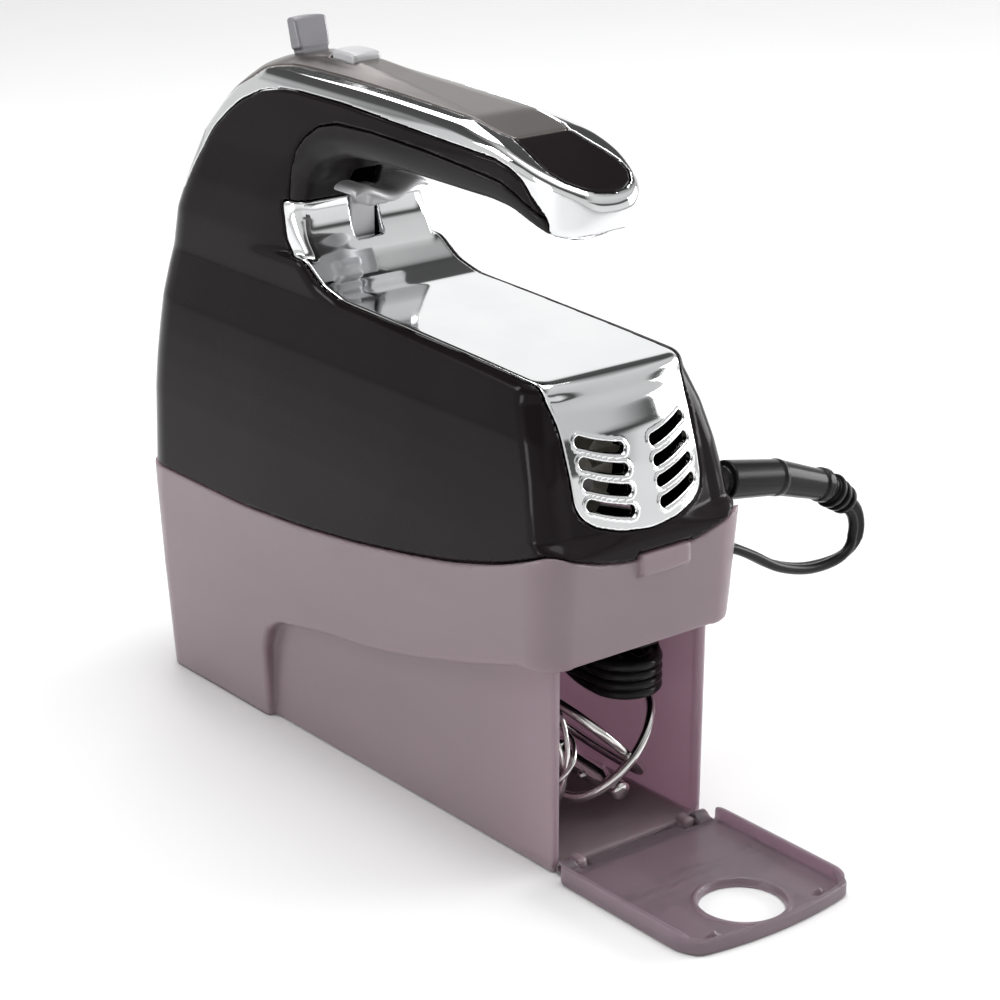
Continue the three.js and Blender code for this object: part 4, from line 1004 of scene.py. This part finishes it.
def deck_field():
    slots = both(formula(vent_distance), formula(lambda x, y, z: 80 - x + 0 * (y + z)), 0.3)
    bead = formula(lambda x, y, z: -0.3 * np.exp(-((vent_distance(x, y, z) - 0.7) / 0.42) ** 2) * (x > 80))

    def grid(x, y, z):
        return BODY.grid(x, y, z) + bead.grid(x, y, z)

    def at(points):
        (value, slope), (lift, tilt) = BODY.at(points), bead.at(points)
        return value + lift, slope + tilt

    raised = both(Field(grid, at), outside(grown(BODY, -WALL)), 0.3)
    cover = both(raised, deck_region, 0.7)
    return minus(cover, slots, box((-29.5, -5, 150.5), (-18, 5, 175), 1.2), k=0.5)


skin("deck_panel", deck_field(), "deck_cover", 0.5, BRUSHED_CHROME, "mixer", "chrome")

inner_field = minus(both(SHELL, inner_region, 0.6), box((-29.6, -5, 140), (-16, 5, 171), 1.2), k=0.5)
skin("handle_underside", inner_field, "inner_cover", 0.8, COVER_BLACK, "mixer", "satin_black")
trim_field = minus(both(SHELL, trim_region, 0.6), grown(cover_region, GAP), grown(inlay_region, GAP), k=0.5)
skin("trim_band", trim_field, "handle_trim", 0.55, CHROME, "mixer", "chrome")
top_field = minus(
    both(both(SHELL, trim_region, 0.3), cover_region, 0.6),
    box((-76, -5.2, 150), (-43.5, 5.2, 220), 1.0),
    box((-32.9, -5.3, 170), (-21.1, 5.3, 220), 1.2),
    k=0.4,
)
# The top cover carries the painted-sheen material in place of plain gloss black.
skin("handle_cover", top_field, "handle_top_cover", 0.6, COVER_PAINTED_SHEEN, "mixer", "gloss_black")
skin(
    "end_inlay", both(both(SHELL, trim_region, 0.3), inlay_region, 0.6), "handle_end_inlay", 0.5,
    GLOSS_BLACK, "mixer", "gloss_black",
)

# ------------------------------------------------------------------ levers and button
LEVER_PIVOT = (-36.0, 0.0, 146.0)
LEVER_TILT = math.radians(14)
PADDLE = {"low": 57.0, "high": 66.6, "half": 5.8, "thick": 2.1}


def tilted(field_at):
    """A function of lever coordinates, made into one of frame coordinates."""
    c, s = math.cos(LEVER_TILT), math.sin(LEVER_TILT)

    def f(x, y, z):
        dx, dz = x - LEVER_PIVOT[0], z - LEVER_PIVOT[2]
        return field_at(dx * c + dz * s, y + 0 * dx, dz * c - dx * s)

    return formula(f)


def lever_field():
    def paddle(x, y, z):
        down = PADDLE["high"] + 0.2 - z
        taper = PADDLE["half"] - 0.03 * down
        thick = PADDLE["thick"] + 0.04 * down
        qx, qy = np.abs(x) - thick + 0.9, np.abs(y) - taper + 0.9
        side = np.hypot(np.maximum(qx, 0), np.maximum(qy, 0)) + np.minimum(np.maximum(qx, qy), 0) - 0.9
        top = z - PADDLE["high"] + 0.012 * y ** 2 + 0.14 * x
        return _soft(side, np.maximum(top, PADDLE["low"] - z), 1.1)[0]

    def arm(x, y, z):
        wide = 2.4 + 2.2 * np.clip((z - 44) / 4, 0, 1)
        return _soft(np.maximum(np.abs(x) - 2.4, np.abs(y) - wide), np.abs(z - 30) - 28, 0.6)[0]

    def hub(x, y, z):
        return _soft(np.hypot(x, z) - 4.6, np.abs(y) - 5, 0.5)[0]

    def bore(x, y, z):
        return np.hypot(x, z) - 2.1 + 0 * y

    return minus(either(either(tilted(paddle), tilted(arm), 0.4), tilted(hub), 0.8), tilted(bore), k=0.3)


# The speed tab's silver is darkened with painted shade.
skin("speed_tab", lever_field(), "speed_lever", 0.45, SILVER_PAINTED_SHADE, "speed_control", "silver_paint")


def button_field():
    cap = both(
        box((-32.6, -5, 192), (-21.4, 5, 210), 1.3),
        formula(lambda x, y, z: z - 204.6 + 0.012 * (x + 27) ** 2 + 0.014 * y ** 2),
        1.1,
    )
    flange = box((-34.6, -6.6, 195.6), (-19.4, 6.6, 197.8), 0.4)
    cap = both(cap, formula(lambda x, y, z: 196.5 - z + 0 * (x + y)), 0.2)
    return either(either(cap, flange, 0.2), box((-28.8, -1.8, 189.4), (-25.2, 1.8, 197), 0.3), 0.3)


# The burst key's silver is lightened with painted light.
skin("burst_key", button_field(), "burst_button", 0.4, SILVER_PAINTED_LIGHT, "burst_control", "silver_paint")


def eject_field():
    """A curved two-winged thumb plate on a tapering stem."""
    def wing(x, y, z):
        u = np.clip(np.abs(y) / 13.0, 0, 1.2)
        lip = 0.9 * np.clip((x + 13.5) / 3.5, 0, 1) ** 2
        middle = 164.7 + 3.4 * np.sin(np.clip(u * 1.25, 0, 1.25) * math.pi / 2) ** 2 - 0.9 * u ** 4 - lip
        thick = 1.15 - 0.25 * u
        edge = np.maximum(np.abs(x + 16) - 6 + 0.5 * u ** 4, np.abs(y) - 13)
        return _soft((np.abs(z - middle) - thick) * 0.85, edge, 1.2)[0]

    stem = box((-29.2, -4.4, 126), (-25.2, 4.4, 165), 0.6)
    bridge = box((-29.2, -4.2, 160.6), (-16.5, 4.2, 164.8), 1.6)
    return either(formula(wing), either(stem, bridge, 1.0), 1.8)


# The eject wing's silver is lightened with painted light.
skin("eject_wing", eject_field(), "eject_lever", 0.4, SILVER_PAINTED_LIGHT, "eject_control", "silver_paint")


# ------------------------------------------------------------------ return springs
def spring(name, node, foot, radius, height, wire):
    """A coil of four turns standing on its foot and rising over the given height."""
    turns, steps = 4, 24
    turn = np.linspace(0, 2 * math.pi * turns, turns * steps + 1)
    x, y, z = foot
    rise = height * turn / turn[-1]
    path = np.stack([x + radius * np.cos(turn), y + radius * np.sin(turn), z + rise], axis=1)
    made = sweep(name, path, ring(wire, 10))
    finished(made, STEEL, "mixer", "steel", node)
    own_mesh(made)


spring("eject_coil", "eject_spring", (-40.5, 0, 112.9), 4, 9.2, 0.5)
spring("burst_coil", "button_spring", (-27, 0, 187.3), 3.4, 7.6, 0.4)


# ------------------------------------------------------------------ beaters and whisk
def placed(points, position, yaw, pitch):
    """Points of an attachment made along +X, laid at a position with a yaw and an upward pitch."""
    cy, sy = math.cos(math.radians(yaw)), math.sin(math.radians(yaw))
    cp, sp = math.cos(math.radians(pitch)), math.sin(math.radians(pitch))
    out = []
    for x, y, z in points:
        lx, lz = x * cp - z * sp, x * sp + z * cp
        out.append((lx * cy - y * sy + position[0], lx * sy + y * cy + position[1], lz + position[2]))
    return np.array(out)


def loop_points(outline, angle, flat):
    def spot(along, out):
        return (along, out * math.cos(angle) * flat, out * math.sin(angle))

    there = [spot(a, o) for a, o in outline]
    back = [spot(a, -o) for a, o in reversed(outline[:-1])]
    return there + back


def lathe(name, outline, place, sides=20):
    """A turned part along +X from (along, radius) pairs."""
    angles = np.linspace(0, 2 * math.pi, sides, endpoint=False)
    rings = [placed([(a, r * math.cos(t), r * math.sin(t)) for t in angles], *place) for a, r in outline]
    return tube(name, rings, placed([(outline[0][0], 0, 0), (outline[-1][0], 0, 0)], *place))


def shaft_outline(length, radius, hub, hub_radius):
    """Driven end with a chamfer, a drive groove and collar, a long shank, and the hub."""
    return [
        (0, radius - 0.9), (0.9, radius), (6, radius), (6.6, radius - 0.7), (8.4, radius - 0.7), (9, radius),
        (25.4, radius), (26, 4.2), (26.4, 4.6), (28.6, 4.6), (29, 4.2), (29.6, radius),
        (length - hub, radius),
        (length - hub + 0.8, hub_radius - 0.3), (length - hub + 1.4, hub_radius), (length + 2, hub_radius),
        (length + 3, hub_radius - 0.8),
    ]


def beater(name, node, place):
    shaft = 108
    parts = [lathe("shank", shaft_outline(shaft, 3.0, 5, 4.0), place)]
    pin_path, _ = smooth_path(placed([(14, -4.4, 0), (14, 0, 0), (14, 4.4, 0)], *place), 0.8)
    parts.append(sweep("pin", pin_path, ring(1.2, 12), (0, 0, 1)))
    for i, angle in enumerate((45, 135)):
        tip = 52 - i * 2.4
        outline = [
            (shaft - 4, 1.6), (shaft + 2, 3), (shaft + 8, 10), (shaft + 14, 16.5), (shaft + 22, 19.6),
            (shaft + 34, 19.6), (shaft + tip - 8, 17.4), (shaft + tip - 2, 10), (shaft + tip, 0),
        ]
        path, _ = smooth_path(placed(loop_points(outline, math.radians(angle), 1), *place), 1.2)
        parts.append(sweep("bar", path, ring(1.45, 12), (0.3, 0.8, 0.5)))
    made = joined(name, parts)
    return finished(made, WIRE_CHROME, "attachments", "chrome", node)


beater("beater_first", "beater_1", ((-72, 8.4, 31), 0, -3.4))
beater("beater_second", "beater_2", ((84, 8.4, 9.4), 180, 4.75))


def whisk():
    place = ((-74, -15, 25), 0, 0)
    shaft, start = 74, 90
    outline = [
        (0, 2.1), (0.9, 3), (25.4, 3), (26, 4.2), (26.4, 4.6), (28.6, 4.6), (29, 4.2), (29.6, 3), (shaft, 3),
        (shaft + 0.6, 4.2), (shaft + 2, 4.5), (start - 1.2, 5.2), (start, 4.9),
    ]
    parts = [lathe("shank", outline, place)]
    for i in range(4):
        tip = 72 - i * 1.3
        shape = [
            (start - 5, 2.6), (start + 4, 4), (start + 22, 10.5), (start + 40, 16.6), (start + 54, 19),
            (start + tip - 6, 15), (start + tip - 1, 7), (start + tip, 0),
        ]
        path, _ = smooth_path(placed(loop_points(shape, math.pi * (i + 0.5) / 4, 0.4), *place), 1.4)
        parts.append(sweep("wire", path, ring(0.75, 10), (0.3, 0.8, 0.5)))
    return finished(joined("wire_whisk", parts), WIRE_CHROME, "attachments", "chrome", "whisk")


whisk()

# ------------------------------------------------------------------ carried-over CAD nodes
CARRIED = {
    SATIN_BLACK: ["base_cover", "speed_switch", "burst_switch"],
    IRON: ["stator_core", "armature_core"],
    COPPER: ["field_coil_upper", "field_coil_lower", "commutator"],
    STEEL: [
        "motor_shaft", "rear_bracket", "gearbox_frame", "spindle_right", "spindle_left",
        "lever_pin", "base_screw_1", "base_screw_2", "base_screw_3", "base_screw_4",
    ],
    BRASS: [
        "front_bearing", "rear_bearing", "brush_holder_right", "brush_holder_left", "spindle_bush_right",
        "spindle_bush_left", "plug_blade_right", "plug_blade_left",
    ],
    CARBON: ["carbon_brush_right", "carbon_brush_left"],
    NYLON: ["cooling_fan", "spindle_gear_right", "spindle_gear_left", "eject_plate"],
    BOARD: ["control_board"],
}
for material, names in CARRIED.items():
    for name in names:
        NODES[name].data.materials.clear()
        NODES[name].data.materials.append(material)

# ------------------------------------------------------------------ floor, lights and surroundings
floor_mesh = bpy.data.meshes.new("studio_floor")
floor_mesh.from_pydata([(-3, -3, 0), (3, -3, 0), (3, 3, 0), (-3, 3, 0)], [], [(0, 1, 2, 3)])
floor = bpy.data.objects.new("studio_floor", floor_mesh)
SCENE.collection.objects.link(floor)
floor_mesh.materials.append(surface(
    "studio_floor", (0.93, 0.93, 0.93), (0.945, 0.945, 0.945), (0.6, 0.7),
    grain=400, bump=0.02, patch=6, specular=0.1,
))


def soft_light(name, place, target, width, height, power, colour=(1, 1, 1)):
    data = bpy.data.lights.new(name, "AREA")
    data.shape = "RECTANGLE"
    data.size, data.size_y = width, height
    data.energy = power
    data.color = colour
    made = bpy.data.objects.new(name, data)
    SCENE.collection.objects.link(made)
    made.location = place
    made.rotation_euler = (Vector(target) - Vector(place)).to_track_quat("-Z", "Y").to_euler()
    return made


soft_light("overhead", (0.1, 0.1, 1.2), (0.03, 0.0, 0.1), 0.9, 0.7, 7)
soft_light("back_wall", (-1.15, 1.0, 0.42), (0.0, 0.0, 0.12), 1.5, 0.9, 1.6)
soft_light("right_wall", (0.5, 1.4, 0.45), (0.08, 0.0, 0.08), 1.0, 0.6, 14)
soft_light("front_left", (-0.75, -0.9, 0.9), (0.0, 0.0, 0.1), 0.35, 0.5, 4)
soft_light("front_wall", (-0.1, -1.5, 0.3), (0.0, 0.0, 0.16), 0.35, 0.45, 3.6)
soft_light("back_top", (-0.73, 0.33, 0.95), (0.0, 0.0, 0.2), 0.45, 0.35, 2.2)

# Surroundings: tones by height, one set for the side the grille faces and one for all the rest.
world = bpy.data.worlds.new("studio")
world.use_nodes = True
sky, sky_links = world.node_tree.nodes, world.node_tree.links
sky_place = sky.new("ShaderNodeTexCoord")
sky_height = sky.new("ShaderNodeSeparateXYZ")
sky_links.new(sky_place.outputs["Generated"], sky_height.inputs["Vector"])


def sky_tones(stops):
    """Greys by height, from (height, tone) pairs."""
    made = sky.new("ShaderNodeValToRGB")
    tones = made.color_ramp
    (first, low), *middle, (last, high) = stops
    tones.elements[0].position, tones.elements[0].color = first, (low, low, low, 1)
    tones.elements[1].position, tones.elements[1].color = last, (high, high, high, 1)
    for where, tone in middle:
        tones.elements.new(where).color = (tone, tone, tone, 1)
    sky_links.new(sky_height.outputs["Z"], made.inputs["Fac"])
    return made.outputs["Color"]


sky_around = sky.new("ShaderNodeVectorMath")
sky_around.operation = "DOT_PRODUCT"
sky_around.inputs[1].default_value = (0.76, 0.65, 0)
sky_links.new(sky_place.outputs["Generated"], sky_around.inputs[0])
sky_side = sky.new("ShaderNodeMapRange")
sky_side.inputs["From Min"].default_value, sky_side.inputs["From Max"].default_value = 0.35, 0.6
sky_links.new(sky_around.outputs["Value"], sky_side.inputs["Value"])
sky_mix = sky.new("ShaderNodeMix")
sky_mix.data_type = "RGBA"
sky_links.new(sky_side.outputs["Result"], sky_mix.inputs["Factor"])
TONES_ROUND = [(0, 0.74), (0.39, 0.68), (0.47, 0.09), (0.72, 0.07), (0.88, 0.7), (1, 1)]
TONES_GRILLE = [(0, 0.85), (0.2, 0.8), (0.25, 0.07), (0.3, 0.07), (0.38, 0.6), (1, 0.8)]
sky_links.new(sky_tones(TONES_ROUND), sky_mix.inputs["A"])
sky_links.new(sky_tones(TONES_GRILLE), sky_mix.inputs["B"])
sky_links.new(sky_mix.outputs["Result"], sky["Background"].inputs["Color"])
sky["Background"].inputs["Strength"].default_value = 1.0
SCENE.world = world
SCENE.view_settings.view_transform = "Standard"
